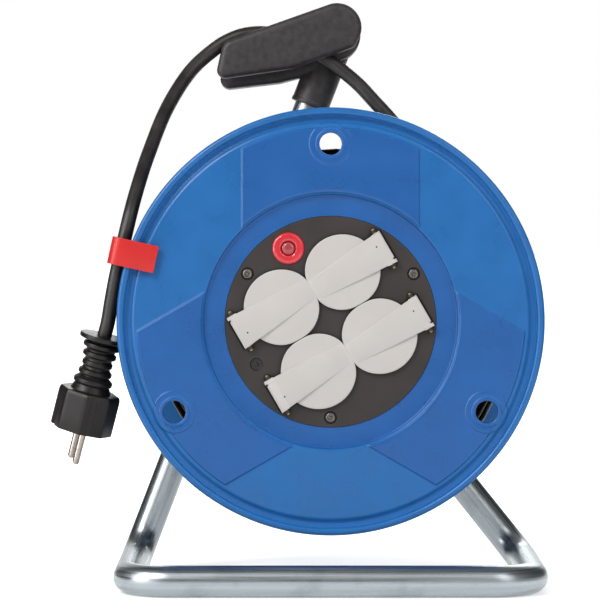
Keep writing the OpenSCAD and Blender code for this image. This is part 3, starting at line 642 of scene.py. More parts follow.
@dataclass(frozen=True)
class Plated(Finish):
    """Plated or bare metal on small parts: slightly clouded, with bright edges that are partly wear and partly
    a painted highlight. Sizes are in mm.
    """

    cloud: float = 3.0           # size of the patches in which the colour wanders
    reach: float = 0.3           # how far the bright edges reach
    relief: float = 0.03         # height of the unevenness

    def paint(self, tree: bpy.types.NodeTree, shader: bpy.types.Node) -> None:
        """Adds clouding and bright edges, partly wear and partly a painted highlight, on object coordinates.

        Args:
            tree: the material's tree.
            shader: its shader.
        """
        where = add_node(tree, "ShaderNodeTexCoord", output="Object")
        shade = clouds(tree, where, self.cloud, 0.85, 1.1)
        base = add_node(tree, "ShaderNodeVectorMath", {0: linear(self.colour)[:3], "Scale": shade},
                        operation="SCALE")
        # Edges go brighter: partly wear, partly a painted highlight.
        wear_and_painted_light = add_node(tree, "ShaderNodeMix",
                        {0: edges_for_wear_and_highlight(tree, self.reach), 6: base, 7: linear(self.colour, 1.35)}, 2,
                        data_type="RGBA")
        rough = clouds(tree, where, self.cloud, self.roughness - 0.06, self.roughness + 0.08)
        self.surface(tree, shader, wear_and_painted_light, rough, shade, self.relief)
        shader.inputs["Metallic"].default_value = 1.0


# Moulded polypropylene: an even satin blue, darker on the raised fields, with painted shade in the dish and its
# edges paled as a painted highlight.
DRUM_BLUE = Moulded("moulded_polypropylene_blue", "#2069AD", 0.3, grain=0.8, relief=0.008, edge_wear_and_highlight=0.4,
                    reach=1.0, toned="#205DA3")
# Glass-filled polyamide: dull dark grey, with painted shade that makes its recesses nearly black.
PLATE_GREY = Moulded("moulded_polyamide_grey", "#332D2B", 0.5, grain=0.5, relief=0.02, clouding=0.16,
                     painted_crevice_shade=3.0)
# Grained polyamide: a leathery dark face, its edges paler partly from a hand's wear and partly as a painted
# highlight.
GRIP_BLACK = Moulded("grained_polyamide_black", "#393536", 0.46, grain=1.0, relief=0.07, cloud=4.0,
                     clouding=0.2, edge_wear_and_highlight=0.3)
# Smooth polyamide and acetal: near black, with soft highlights.
PART_BLACK = Moulded("moulded_polyamide_black", "#242122", 0.36, clouding=0.1)
# ABS: warm light grey, smooth and slightly silky.
LID_GREY = Moulded("moulded_abs_light_grey", "#CAC5C1", 0.34, grain=0.6, relief=0.006, clouding=0.02,
                   edge_wear_and_highlight=0.03)
# Tinted polycarbonate: clear bright red with wet-looking highlights.
COLLAR_RED = Moulded("tinted_polycarbonate_red", "#DA2E3B", 0.2, relief=0.003, gloss=0.5, coat=0.5,
                     softness=0.25)
# The same, paler and a little duller, because light goes through the thin button.
BUTTON_RED = Moulded("tinted_polycarbonate_rose", "#AB3E45", 0.24, relief=0.003, gloss=0.5, coat=0.4,
                     softness=0.2)
# Polypropylene strip: bright red, satin, paler where it is folded.
CLIP_RED = Moulded("moulded_polypropylene_red", "#D52E2D", 0.32, grain=0.6, relief=0.008, softness=0.1)
# Moulded rubber: near black, its ribs and edges paled grey partly by wear and partly as a painted highlight.
PLUG_BLACK = Moulded("moulded_rubber_black", "#1A1716", 0.4, grain=0.4, relief=0.02, cloud=9.0, clouding=0.15,
                     gloss=0.28, edge_wear_and_highlight=0.5)
# Extruded rubber: a dusty black with one broad, soft highlight along the cable.
SHEATH_BLACK = Sheath("rubber_sheath_black", "#221F1E", 0.4, gloss=0.48)
# The same rubber on the drum, a little darker and with painted shade that makes it quite black beside the
# flanges.
WOUND_BLACK = Sheath("rubber_sheath_black_wound", "#1E1C1B", 0.36, painted_shelter_shade=40.0)
# Zinc-plated drawn tube: bright, slightly blue, with long blurred reflections and grey streaks.
TUBE_ZINC = DrawnTube("zinc_plated_tube", "#ACB4B8", 0.32)
# Zinc-plated steel: pale grey, with a slightly blurred shine.
FIXING_ZINC = Plated("zinc_plated_fixings", "#9C9C99", 0.3)
# Black-passivated zinc: a dark, warm grey metal that shines mostly on its edges.
SCREW_ZINC = Plated("black_passivated_zinc", "#6E6A65", 0.36)
# Bare spring steel: bright, neutral and nearly mirror-like.
SPRING_STEEL = Plated("bright_spring_steel", "#B4B4B1", 0.22)
# Nickel-plated brass: warm grey with sharp highlights.
PIN_NICKEL = Plated("nickel_plated_brass", "#A39A92", 0.22)
# Bare brass: dull yellow.
BRASS = Plated("plain_brass", "#9A8355", 0.34)


def make_piece(name: str, surface: Surface, finish: Finish, body: Body,
               replaces: Sequence[str] = (), sharp: float = 38.0) -> bpy.types.Object:
    """Puts a surface into the scene as a finished piece.

    Args:
        name: name of the piece.
        surface: its shape in scene metres.
        finish: its finish.
        body: the body that it rides on.
        replaces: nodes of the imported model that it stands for.
        sharp: edges that turn by more than this many degrees stay crisp.

    Returns:
        The object.
    """
    mesh = bpy.data.meshes.new(name)
    mesh.from_pydata(surface.points.tolist(), [], surface.faces.tolist())
    for mark, values in surface.marks.items():
        kind, channel = ("FLOAT", "value") if values.shape[1] == 1 else ("FLOAT_VECTOR", "vector")
        mesh.attributes.new(mark, kind, "POINT").data.foreach_set(channel, values.astype(np.float32).ravel())
    work = bmesh.new()
    work.from_mesh(mesh)
    bmesh.ops.remove_doubles(work, verts=work.verts, dist=2e-6)
    bmesh.ops.recalc_face_normals(work, faces=work.faces)
    work.to_mesh(mesh)
    work.free()
    mesh.shade_smooth()
    mesh.set_sharp_from_angle(angle=math.radians(sharp))
    mesh.materials.append(finish.material())
    piece = bpy.data.objects.new(name, mesh)
    bpy.context.scene.collection.objects.link(piece)
    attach(piece, body.value)
    if replaces:
        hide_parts(*replaces)
    LOG.info("%s: %d faces", name, len(mesh.polygons))
    return piece


def dress(finish: Finish, *nodes: str) -> None:
    """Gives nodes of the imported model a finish.

    Args:
        finish: the finish.
        nodes: names of the nodes.
    """
    for node in nodes:
        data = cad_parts[node].data
        data.materials.clear()
        data.materials.append(finish.material())
        LOG.info("%s: dressed", node)


# ---- Studio -----------------------------------------------------------------


class Glow(Enum):
    """How bright a card is as a reflection, where the surroundings are 1."""

    DARK = 0.04
    DIM = 0.16
    GREY = 0.3
    SOFT = 3.0
    BRIGHT = 6.0


@dataclass
class Studio:
    """Camera, pale floor, soft lights and the cards that the reel mirrors. Places are in metres."""

    lens: float = 177.5                          # mm
    stand_off: float = 2.0                       # from the camera to the drum's face
    eye: tuple[float, float] = (-0.0207, 0.243)  # x and height of the camera
    tilt: float = 1.295                          # degrees that it looks down
    aim: tuple[float, float, float] = (0.0, 0.0, 0.2)
    fill: float = 0.4                            # light from all round
    floor_half: float = 30.0
    floor_fade: tuple[float, float] = (0.15, 0.6)  # where the floor's own glow starts and ends to grow
    floor_glow: float = 0.42                     # that glow under the reel

    def camera(self) -> None:
        """Sets the camera in front of the drum."""
        camera = bpy.data.objects.new("camera", bpy.data.cameras.new("camera"))
        camera.data.lens = self.lens
        camera.data.sensor_width = 36.0
        camera.location = (self.eye[0], FACE_Y * MM - self.stand_off, self.eye[1])
        camera.rotation_euler = (math.radians(90.0 - self.tilt), 0.0, 0.0)
        bpy.context.scene.collection.objects.link(camera)
        bpy.context.scene.camera = camera

    def lamp(self, name: str, place: tuple[float, float, float], size: float, watts: float) -> None:
        """Hangs a square soft light that points at the middle of the reel.

        Args:
            name: its name.
            place: where it hangs.
            size: its width.
            watts: its power.
        """
        data = bpy.data.lights.new(name, "AREA")
        data.size, data.energy = size, watts
        lamp = bpy.data.objects.new(name, data)
        lamp.location = place
        lamp.rotation_euler = (Vector(self.aim) - Vector(place)).to_track_quat("-Z", "Y").to_euler()
        bpy.context.scene.collection.objects.link(lamp)

    def sheet(self, name: str, middle: Sequence[float], across: Sequence[float],
              up: Sequence[float]) -> bpy.types.Object:
        """Makes a flat stage piece with its corners at middle +- across +- up.

        Args:
            name: its name.
            middle: its middle.
            across: from the middle to the middle of one side.
            up: from the middle to the middle of the next side.

        Returns:
            The object.
        """
        m, a, u = (np.array(v, float) for v in (middle, across, up))
        corners = [tuple(m + i * a + j * u) for i, j in ((-1, -1), (1, -1), (1, 1), (-1, 1))]
        mesh = bpy.data.meshes.new(name)
        mesh.from_pydata(corners, [], [(0, 1, 2, 3)])
        sheet = bpy.data.objects.new(name, mesh)
        bpy.context.scene.collection.objects.link(sheet)
        return sheet

    def card(self, name: str, glow: Glow, middle: Sequence[float], across: Sequence[float],
             up: Sequence[float]) -> None:
        """Stands a card beside the reel that only shows as a reflection.

        Args:
            name: its name.
            glow: how bright it is.
            middle: its middle.
            across: from the middle to the middle of one side.
            up: from the middle to the middle of the next side.
        """
        card = self.sheet(name, middle, across, up)
        card.visible_camera = card.visible_diffuse = card.visible_shadow = card.visible_transmission = False
        material = bpy.data.materials.new(name)
        material.use_nodes = True
        shader = material.node_tree.nodes["Principled BSDF"]
        shader.inputs["Base Color"].default_value = (0.0, 0.0, 0.0, 1.0)
        shader.inputs["Specular IOR Level"].default_value = 0.0
        shader.inputs["Emission Color"].default_value = (1.0, 1.0, 1.0, 1.0)
        shader.inputs["Emission Strength"].default_value = glow.value
        card.data.materials.append(material)

    def seen(self, tree: bpy.types.NodeTree) -> bpy.types.NodeSocket:
        """Picks out the rays that show the background straight, mirrored or through glass.

        Args:
            tree: where the nodes go.

        Returns:
            One for such rays and nought for the rest.
        """
        camera, glossy, through = (add_node(tree, "ShaderNodeLightPath", output=f"Is {kind} Ray")
                                   for kind in ("Camera", "Glossy", "Transmission"))
        pair = add_node(tree, "ShaderNodeMath", {0: camera, 1: glossy}, operation="ADD")
        return add_node(tree, "ShaderNodeMath", {0: pair, 1: through}, operation="ADD", use_clamp=True)

    def world(self) -> None:
        """Fills the surroundings with even light, white where they are seen."""
        world = bpy.data.worlds.new("surroundings")
        world.use_nodes = True
        tree = world.node_tree
        shader = tree.nodes["Background"]
        shader.inputs["Color"].default_value = (1.0, 1.0, 1.0, 1.0)
        strength = add_node(tree, "ShaderNodeMapRange",
                            {"Value": self.seen(tree), "To Min": self.fill, "To Max": 1.0})
        tree.links.new(strength, shader.inputs["Strength"])
        bpy.context.scene.world = world

    def floor(self) -> None:
        """Lays a wide pale floor that keeps the reel's shadow and fades to white further off."""
        half = self.floor_half
        floor = self.sheet("floor", (0, 0, 0), (half, 0, 0), (0, half, 0))
        material = bpy.data.materials.new("pale_floor")
        material.use_nodes = True
        tree = material.node_tree
        shader = tree.nodes["Principled BSDF"]
        shader.inputs["Base Color"].default_value = linear("#E9E9E9")
        shader.inputs["Roughness"].default_value = 0.9
        shader.inputs["Specular IOR Level"].default_value = 0.1
        shader.inputs["Emission Color"].default_value = (1.0, 1.0, 1.0, 1.0)
        where = add_node(tree, "ShaderNodeTexCoord", output="Object")
        away = add_node(tree, "ShaderNodeVectorMath", {0: where}, "Value", operation="LENGTH")
        near, far = self.floor_fade
        strength = add_node(tree, "ShaderNodeMapRange", {"Value": away, "From Min": near, "From Max": far,
                                                         "To Min": self.floor_glow, "To Max": 1.0})
        glow = add_node(tree, "ShaderNodeMath", {0: self.seen(tree), 1: strength}, operation="MULTIPLY")
        tree.links.new(glow, shader.inputs["Emission Strength"])
        floor.data.materials.append(material)

    def build(self) -> None:
        """Sets up the whole studio."""
        bpy.context.scene.view_settings.view_transform = "Standard"
        self.camera()
        self.world()
        self.floor()
        self.lamp("key_light", (-1.35, -1.5, 1.75), 0.8, 34.0)
        self.lamp("fill_light", (1.45, -1.45, 1.5), 1.5, 18.0)
        self.lamp("back_light", (0.3, 1.9, 1.5), 1.5, 22.0)
        # Dark cards at the sides give the tubes and the grip their dark outlines.
        self.card("card_left", Glow.DARK, (-1.04, 1.025, 0.55), (-0.4, 1.175, 0.0), (0.0, 0.0, 0.65))
        self.card("card_right", Glow.DARK, (0.98, 0.85, 0.55), (0.46, 1.35, 0.0), (0.0, 0.0, 0.65))
        # Bright strips draw light lines along steps and tubes that face sideways.
        self.card("strip_left", Glow.BRIGHT, (-0.84, -0.42, 0.5), (-0.06, 0.2, 0.0), (0.0, 0.0, 0.45))
        self.card("strip_right", Glow.SOFT, (0.75, -0.62, 0.45), (0.04, -0.1, 0.0), (0.0, 0.0, 0.4))
        # Grey cards in front and above keep flat faces and the tube's top from washing out.
        self.card("card_front", Glow.GREY, (0.0, -2.6, 0.7), (1.5, 0.0, 0.0), (0.0, 0.0, 1.3))
        self.card("card_above", Glow.DIM, (0.0, 0.5, 1.6), (1.7, 0.0, 0.0), (0.0, 1.5, 0.0))
        LOG.info("studio ready")


# ---- Cable ------------------------------------------------------------------


@dataclass
class Cable:
    """The cable: wound on the drum in four layers, then led over the grip and down to the plug."""

    diameter: float = 10.0
    hub_radius: float = 84.0
    tail_start: float = 51.5                         # where the inner end starts, inside the hub
    gland: tuple[float, float] = (300.0, 33.0)       # angle and depth where the cable leaves the hub
    layers: tuple[float, ...] = (89.05, 97.6, 106.15, 114.7)
    layer_turns: tuple[float, ...] = (8.648, 8.648, 8.6484, 8.2778)
    climb: float = 0.5                               # turns that a step to the next layer takes
    ends: tuple[float, float] = (11.5, 98.5)         # depth of a layer's first and last turn
    exit_angle: float = 20.0                         # where the lead leaves the drum
    slack: float = 4.4                               # how loosely the outer layer hangs
    slack_angle: float = 298.0                       # where it hangs lowest
    slack_rise: float = 0.385                        # slack all round, as a share of the slack
    rings_per_turn: int = 36
    step: float = 3.0                                # between points of the lead
    sides: int = 14
    joint: float = 0.05                              # gap between lengths that are one cable
    hand: tuple[tuple[float, float, float], ...] = (
        (91, 77, 98.5), (77, 98, 98.5), (60, 120.5, 98.5), (40, 144.5, 98.7), (31.6, 153.7, 100.3),
        (20.5, 165.8, 103), (10.6, 174.4, 105), (1.8, 181.1, 106.4), (-10, 189, 106.6),
        (-22, 195.6, 106.6), (-35, 200.5, 106.6), (-48, 202.3, 106.6), (-61, 201, 106.6),
        (-73.5, 196, 106.6), (-85.6, 187.3, 104.8), (-96.4, 176.8, 99.5), (-102.7, 168.2, 93.8),
        (-107.8, 159.7, 87.7), (-112.2, 151.3, 81.4), (-116.3, 142.2, 74.3), (-120.0, 132.3, 66.7),
        (-124.0, 120.2, 57.1), (-127.8, 108.2, 47.2), (-131.0, 96.4, 37.1), (-134.1, 83.9, 27.4),
        (-137.2, 70.3, 19.8), (-139.8, 58.5, 16.7), (-142.4, 47.0, 16.0), (-146.6, 28.2, 16.0),
        (-149.8, 11.5, 18.4))
    plug_at: tuple[float, float, float] = (-154.4, -10.2, 21.0)
    plug_up: tuple[float, float, float] = (0.25, 0.963, -0.1)

    def wound_path(self) -> tuple[Array, Array]:
        """Path of the wound cable, in the drum's frame.

        At T turns the point is (R cos a, R sin a, depth) with a = start + T. The cable first runs to
        the rear in half a turn. Then the depth runs evenly across each layer and rests while R
        climbs along a smooth step. The outer layer's R gains slack * (rise + cos(a - slack angle)).

        Returns:
            Points, and the outward direction at each.
        """
        front, rear = self.ends
        spans = np.array([self.climb] + [v for turns in self.layer_turns for v in (turns, self.climb)][:-1])
        knots = np.concatenate([[0.0], np.cumsum(spans)])
        t = np.linspace(0.0, knots[-1], int(knots[-1] * self.rings_per_turn) + 1)
        depth = np.interp(t, knots, [self.gland[1], rear, front, front, rear, rear, front, front, rear])
        climbs = zip(np.diff(self.layers), knots[2::2])
        radius = self.layers[0] + sum(rise * ease((t - start) / self.climb) for rise, start in climbs)
        a = self.gland[0] + 360.0 * t
        outer = ease((t - knots[-2]) / self.climb) * ease((knots[-1] - t) / self.climb)
        radius = radius + self.slack * outer * (self.slack_rise + np.cos(np.radians(a - self.slack_angle)))
        return (np.concatenate([polar(radius, a), depth[:, None]], -1),
                np.concatenate([polar(1.0, a), 0 * depth[:, None]], -1))

    def lead_path(self) -> Array:
        """Path of the free lead, in the drum's frame, as a cubic curve through its route.

        Returns:
            Points from the wound cable's end to the plug.
        """
        radius, depth, end = self.layers[-1], self.ends[1], self.exit_angle
        out, along = polar(1.0, end), polar(1.0, end + 90.0)
        near, far = self.joint, self.diameter + self.joint
        starts = [np.append(out * radius + along * s, depth) for s in (near, far)]
        at, up = np.array(self.plug_at), np.array(self.plug_up)
        return smooth_path(np.concatenate([starts, self.hand, [at + up * far, at + up * near]]), self.step)

    def cord(self, name: str, path: Array, finish: Sheath, body: Body, nodes: Sequence[str],
             side: Array | None = None) -> None:
        """Args:
            name: name of the piece.
            path: points of its centreline, in the drum's frame.
            finish: its sheath.
            body: the body that it rides on.
            nodes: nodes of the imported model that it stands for.
            side: sideways direction at each point, or None to carry one along.
        """
        surface = hose(path, self.diameter / 2, self.sides, side).moved(on_drum)
        piece = make_piece(name, surface, finish, body, replaces=nodes, sharp=60.0)

    def inner_end(self) -> None:
        """Makes the short straight length inside the hub."""
        angle, depth = self.gland
        flat = polar(np.linspace(self.tail_start, self.hub_radius, 12), angle)
        path = np.concatenate([flat, np.full((len(flat), 1), depth)], -1)
        surface = hose(path, self.diameter / 2 - 0.02, self.sides).moved(on_drum)
        make_piece("inner_cable_end", surface, SHEATH_BLACK, Body.DRUM,
                   replaces=("inner_tail",), sharp=60.0)

    def build(self, pieces: Sequence[bpy.types.Object]) -> None:
        """Makes the wound cable, the free lead and the cable's inner end.

        Args:
            pieces: what hangs on the lead; not used.
        """
        path, out = self.wound_path()
        self.cord("wound_cable", path, WOUND_BLACK, Body.DRUM, ("cable_core", "cable_winding"),
                  side=out)
        self.cord("free_lead", self.lead_path(), SHEATH_BLACK, Body.STAND, ("cable_lead",))
        self.inner_end()


# ---- Drum -------------------------------------------------------------------


@dataclass(frozen=True)
class Window:
    """A hole in a flange and the patch of flange round it.

    Each ring is [distance from the hole's middle, height, whether that height is added to the
    flange's own face there]; other heights count from the face towards the cable.
    """

    angle: float                       # of the line on which the hole lies
    pitch: float                       # from the axis to the hole's middle
    rows: tuple[float, float]          # radii between which the patch lies
    half: float                        # half the patch's width
    rings: tuple[tuple[float, float, bool], ...]
    through: bool = True


FINGER_RINGS = ((15.2, 0.0, True), (14.85, 0.0, True), (14.65, 0.1, True), (14.45, 0.3, True),
                (14.2, 0.45, True), (13.9, 0.54, True), (13.5, 0.58, True), (12.4, 0.58, True),
                (11.2, 0.55, True), (10.7, 0.48, True), (10.4, 0.42, True), (10.3, 6.5, False),
                (10.22, 6.9, False), (10.0, 7.14, False), (9.6, 7.32, False), (9.0, 7.4, False),
                (8.4, 7.32, False), (7.95, 7.1, False), (7.68, 6.8, False), (7.55, 6.3, False),
                (7.5, 5.6, False), (7.5, 3.0, False), (7.5, 0.5, False), (7.65, 0.12, False),
                (8.1, 0.0, False), (12.0, 0.0, False))
THREAD_RINGS = ((13.0, 0.0, True), (12.1, 0.0, True), (11.7, -0.14, True), (11.5, 4.3, False),
                (11.5, 0.5, False), (11.66, 0.12, False), (12.1, 0.0, False), (14.0, 0.0, False))
SCREW_RINGS = ((6.5, 0.0, True), (4.8, 0.0, True), (4.4, -0.14, True), (4.25, 4.3, False),
               (4.25, 1.8, False), (2.45, 1.8, False), (2.45, -3.0, False), (0.0, -3.0, False))


@dataclass
class Flange:
    """A flange of the drum with its half of the hub.

    The section is given by [radius, height, corner cut], where height counts outwards from the
    face towards the cable. Radial lines of points run parallel across each raised field, so that
    its straight edges come out crisp.
    """

    name: str
    web_depth: float                   # depth of the face towards the cable
    outward: float                     # which way heights count in depth, 1 or -1
    lead_in: tuple[tuple[float, float, float], ...]
    face: tuple[tuple[float, float, float], ...]
    rim: tuple[tuple[float, float, float], ...]
    closing: tuple[tuple[float, float, float], ...]
    crest: float                       # height of the rolled rim
    field_height: float
    windows: tuple[Window, ...]
    back_edge: float = 139.8           # inner radius of the rolled rim
    hub_radius: float = 84.0
    field_angles: tuple[float, ...] = (90.0, 210.0, 330.0)
    field_half: float = 60.0           # half the width of a raised field
    edge_half: float = 0.8             # half the width of its straight edges
    field_rows: tuple[float, float, float, float] = (86.9, 88.3, 130.9, 132.1)  # radii of its curved edges
    edge_rows: tuple[float, ...] = (86.9, 87.2, 87.6, 88.0, 88.3, 130.9, 131.2, 131.5, 131.8, 132.1)
    plain_rows: tuple[float, ...] = (90.0, 93.5, 97.0, 100.5, 104.0)   # between that and the windows
    fine_half: float = 19.0            # lines stand 1 mm apart up to here and 2 mm apart beyond
    lines: int = 34                    # lines between two fields, and rows across a window
    fan: float = 86.6                  # inside this radius the lines run straight to the axis

    def columns(self) -> tuple[Array, Array, Array]:
        """Lays out the radial lines of points.

        Returns:
            For each line its field's number, its distance from the field's middle, and how far it
            lies on the way from the field's last line to the next field's first one.
        """
        half, fine = self.field_half, self.fine_half
        edge = np.linspace(-self.edge_half, self.edge_half, 5)
        coarse = np.arange(fine + 2.0, half, 2.0)
        p = np.concatenate([[-half - 1.0], edge - half, -coarse[::-1], np.arange(-fine, fine + 1.0), coarse,
                            edge + half, [half + 1.0]])
        t = np.linspace(0.0, 1.0, self.lines)[1:-1]
        one = (np.concatenate([p, np.full(len(t), half + 1.0)]), np.concatenate([0 * p, t]))
        count = len(self.field_angles)
        return np.repeat(np.arange(count), len(one[0])), np.tile(one[0], count), np.tile(one[1], count)

    def angle(self, radius: Array, k: Array, p: Array, t: Array) -> Array:
        """Works out angles: the field's own + asin(p / r), or a blend from there towards the next field.

        Args:
            radius: radius of each row.
            k: field of each line.
            p: distance of each line from the field's middle.
            t: how far each line lies on the way to the next field.

        Returns:
            The angle of each line in each row, in degrees.
        """
        lean = np.degrees(np.arcsin(p / np.maximum(radius[:, None], self.fan)))
        centre = np.array(self.field_angles)[k]
        step = 360.0 / len(self.field_angles)
        return (centre + lean) * (1 - t) + (centre + step - lean) * t

    def field_share(self, radius: Array, p: Array) -> Array:
        """Tells the raised fields apart: a smooth step in r at each curved edge times one in |p|.

        Args:
            radius: distance from the axis.
            p: distance from the field's middle line.

        Returns:
            One on a field, nought beside it, and between them on its edge.
        """
        r0, r1, r2, r3 = self.field_rows
        band = ease((radius - r0) / (r1 - r0)) * (1 - ease((radius - r2) / (r3 - r2)))
        return band * (1 - ease((np.abs(p) - self.field_half + self.edge_half) / (2 * self.edge_half)))

    def face_height(self, radius: Array, p: Array) -> Array:
        """Works out the outer face: the turned profile's height plus the raised field's.

        Args:
            radius: distance from the axis.
            p: distance from the field's middle line.

        Returns:
            The height at each point.
        """
        base = rounded(self.face)
        return np.interp(radius, base[:, 0], base[:, 1]) + self.field_height * self.field_share(radius, p)

    def tone(self, radius: Array, p: Array) -> Array:
        """Marks where the face is darker: on the raised fields, and in the dish inside them, where it is
        painted shade.

        Args:
            radius: distance from the axis.
            p: distance from the field's middle line.

        Returns:
            One where the face is darker and nought elsewhere.
        """
        # The dish's darker colour is painted shade.
        dish = 1 - ease(radius - self.field_rows[0] + 1.0)
        return np.maximum(self.field_share(radius, p), dish) * (self.field_height > 0)

    def rows(self) -> tuple[Array, Array, Array]:
        """Lays out the rows of the closed section.

        The rolled rim is half a circle, r = middle + half cos a and height = crest - half + half sin a.

        Returns:
            For each row its radius, its height, and a tag: 1 on the outer face, 2 on the face
            towards the cable and nought elsewhere.
        """
        base = rounded(self.face)
        across = [np.linspace(*window.rows, self.lines) for window in self.windows]
        every = np.unique(np.round(np.concatenate([base[:, 0], self.edge_rows, self.plain_rows, *across]), 4))
        every = every[(every >= base[0, 0]) & (every <= base[-1, 0])]
        a = np.radians(np.linspace(180.0, 0.0, 19))
        half = (self.rim[0][0] - self.back_edge) / 2
        arc = np.stack([self.back_edge + half + half * np.cos(a), self.crest - half + half * np.sin(a)], -1)
        inner = every[(every > self.hub_radius + 1.0) & (every < self.back_edge - 0.5)][::-1]
        parts = [rounded(self.lead_in), np.stack([every, 0 * every], -1), arc, rounded(self.rim),
                 np.stack([inner, 0 * inner], -1), rounded(self.closing)]
        tags = np.concatenate([np.full(len(part), tag) for part, tag in zip(parts, (0, 1, 0, 0, 2, 0))])
        both = np.concatenate(parts)
        return both[:, 0], both[:, 1], tags

    def place(self, points: Array) -> Array:
        """Turns [x, y, height] into scene metres."""
        depth = self.web_depth + self.outward * points[..., 2]
        return on_drum(np.stack([points[..., 0], points[..., 1], depth], -1))

    def patch(self, window: Window, rows: Array, p: Array) -> Surface:
        """Makes the flange between a window's straight border and its hole, as rings round the hole.

        Args:
            window: the hole.
            rows: radii of the rows inside the window.
            p: distances of the lines inside the window.

        Returns:
            The patch, whose first and last rings lie on the border.
        """
        ends = np.full(len(rows), 1.0)
        r = np.concatenate([np.full(len(p), rows[0]), rows, np.full(len(p), rows[-1]), rows[::-1]])
        q = np.concatenate([p, ends * p[-1], p[::-1], ends * p[0]])
        lean = np.arcsin(q / np.maximum(r, self.fan))
        border = np.stack([r * np.cos(lean), r * np.sin(lean)], -1)
        middle = np.array([window.pitch, 0.0])
        out = unit(border - middle)
        reach = np.linalg.norm(border - middle, axis=1)
        d, height, added = (np.array(v)[:, None] for v in zip(*window.rings))
        share = np.linspace(1.0, 0.0, 20)[1:-1, None]
        inside = 0.985                 # no ring reaches further out than this share of the way
        d = np.concatenate([d[0] + (reach - d[0]) * share, np.broadcast_to(d, (len(d), len(r)))])
        height = np.concatenate([0 * share, height]) * np.ones(len(r))
        added = np.concatenate([share > 0, added])
        flat = middle + out[None] * np.minimum(d, reach * inside)[..., None]
        own = self.face_height(np.linalg.norm(flat, axis=-1), flat[..., 1])
        grid = np.concatenate([flat, np.where(added, own + height, height)[..., None]], -1)
        first = np.concatenate([border, self.face_height(r, q)[:, None]], -1)[None]
        last = np.concatenate([border, 0 * r[:, None]], -1)[None]
        grid = np.concatenate([first, grid, last] if window.through else [first, grid])
        tone = self.tone(np.linalg.norm(grid[..., :2], axis=-1), grid[..., 1])
        return Surface.of_grid(turned(grid, window.angle), tone=tone)

    def surface(self) -> Surface:
        """Makes the turned section with its windows left out, and a patch in each window.

        Returns:
            The whole flange, in scene metres.
        """
        radius, height, tags = self.rows()
        k, p, t = self.columns()
        r = np.broadcast_to(radius[:, None], (len(radius), len(p)))
        h = np.where((tags == 1)[:, None], self.face_height(r, p), height[:, None])
        grid = np.concatenate([polar(r, self.angle(radius, k, p, t)), h[..., None]], -1)
        keep = np.ones(r.shape, bool)
        near = 1e-6
        parts = []
        for window in self.windows:
            number = self.field_angles.index(window.angle)
            cut_rows = (radius >= window.rows[0] - near) & (radius <= window.rows[1] + near)
            cut_columns = (k == number) & (np.abs(p) <= window.half) & (t == 0)
            for tag in (1, 2) if window.through else (1,):
                in_rows = cut_rows & (tags == tag)
                keep &= ~((in_rows & np.roll(in_rows, -1))[:, None]
                          & (cut_columns & np.roll(cut_columns, -1))[None])
            parts.append(self.patch(window, np.sort(radius[cut_rows & (tags == 1)]), p[cut_columns]))
        tone = self.tone(r, p) * (tags != 2)[:, None]
        return joined([Surface.of_grid(grid, ring_rows=True, keep=keep, tone=tone)] + parts).moved(self.place)

    def build(self) -> None:
        """Makes the flange."""
        make_piece(f"{self.name}_shell", self.surface(), DRUM_BLUE, Body.DRUM,
                   replaces=(self.name,), sharp=42.0)


FRONT_FLANGE = Flange(
    name="front_flange", web_depth=6.0, outward=-1.0, crest=7.5, field_height=1.2,
    lead_in=((69.0, -3.2, 0.3), (69.0, -1.2, 0.1), (71.7, -1.2, 0.1), (71.7, 1.8, 0.35), (72.6, 1.8, 0.0)),
    face=((72.6, 1.8, 0.0), (85.8, 1.8, 0.9), (86.6, 4.8, 0.78), (133.6, 4.8, 1.5), (136.2, 2.6, 1.6),
          (139.6, 2.6, 0.0)),
    rim=((145.0, 4.9, 0.0), (145.0, -0.5, 0.5), (144.0, -1.5, 0.5), (139.8, -1.5, 0.3), (139.8, 0.0, 0.3),
         (139.0, 0.0, 0.0)),
    closing=((85.0, 0.0, 0.0), (84.0, 0.0, 0.6), (84.0, -49.0, 0.3), (81.0, -49.0, 0.3), (81.0, -3.2, 0.3),
             (69.0, -3.2, 0.3)),
    windows=tuple(Window(a, pitch, (105.0, 139.0), 19.0, FINGER_RINGS)
                  for a, pitch in ((90.0, 120.4), (210.0, 122.0), (330.0, 122.0))))

REAR_FLANGE = Flange(
    name="rear_flange", web_depth=104.0, outward=1.0, crest=6.3, field_height=0.0,
    lead_in=((10.6, -45.2, 0.3), (10.6, 4.8, 0.4), (11.5, 4.8, 0.0)),
    face=((11.5, 4.8, 0.0), (133.6, 4.8, 0.9), (136.2, 2.6, 0.7), (139.6, 2.6, 0.0)),
    rim=((145.0, 3.7, 0.0), (145.0, 0.0, 0.7), (139.0, 0.0, 0.0)),
    closing=((85.0, 0.0, 0.0), (84.0, 0.0, 0.6), (84.0, -49.0, 0.3), (81.0, -49.0, 0.3), (81.0, 0.0, 0.5),
             (15.0, 0.0, 0.5), (15.0, -45.2, 0.3), (10.6, -45.2, 0.3)),
    windows=(Window(90.0, 121.0, (105.0, 138.0), 19.0, THREAD_RINGS),
             *(Window(a, 75.0, (65.0, 84.0), 11.0, SCREW_RINGS, through=False) for a in (90.0, 210.0, 330.0))))


# ---- Socket insert ----------------------------------------------------------


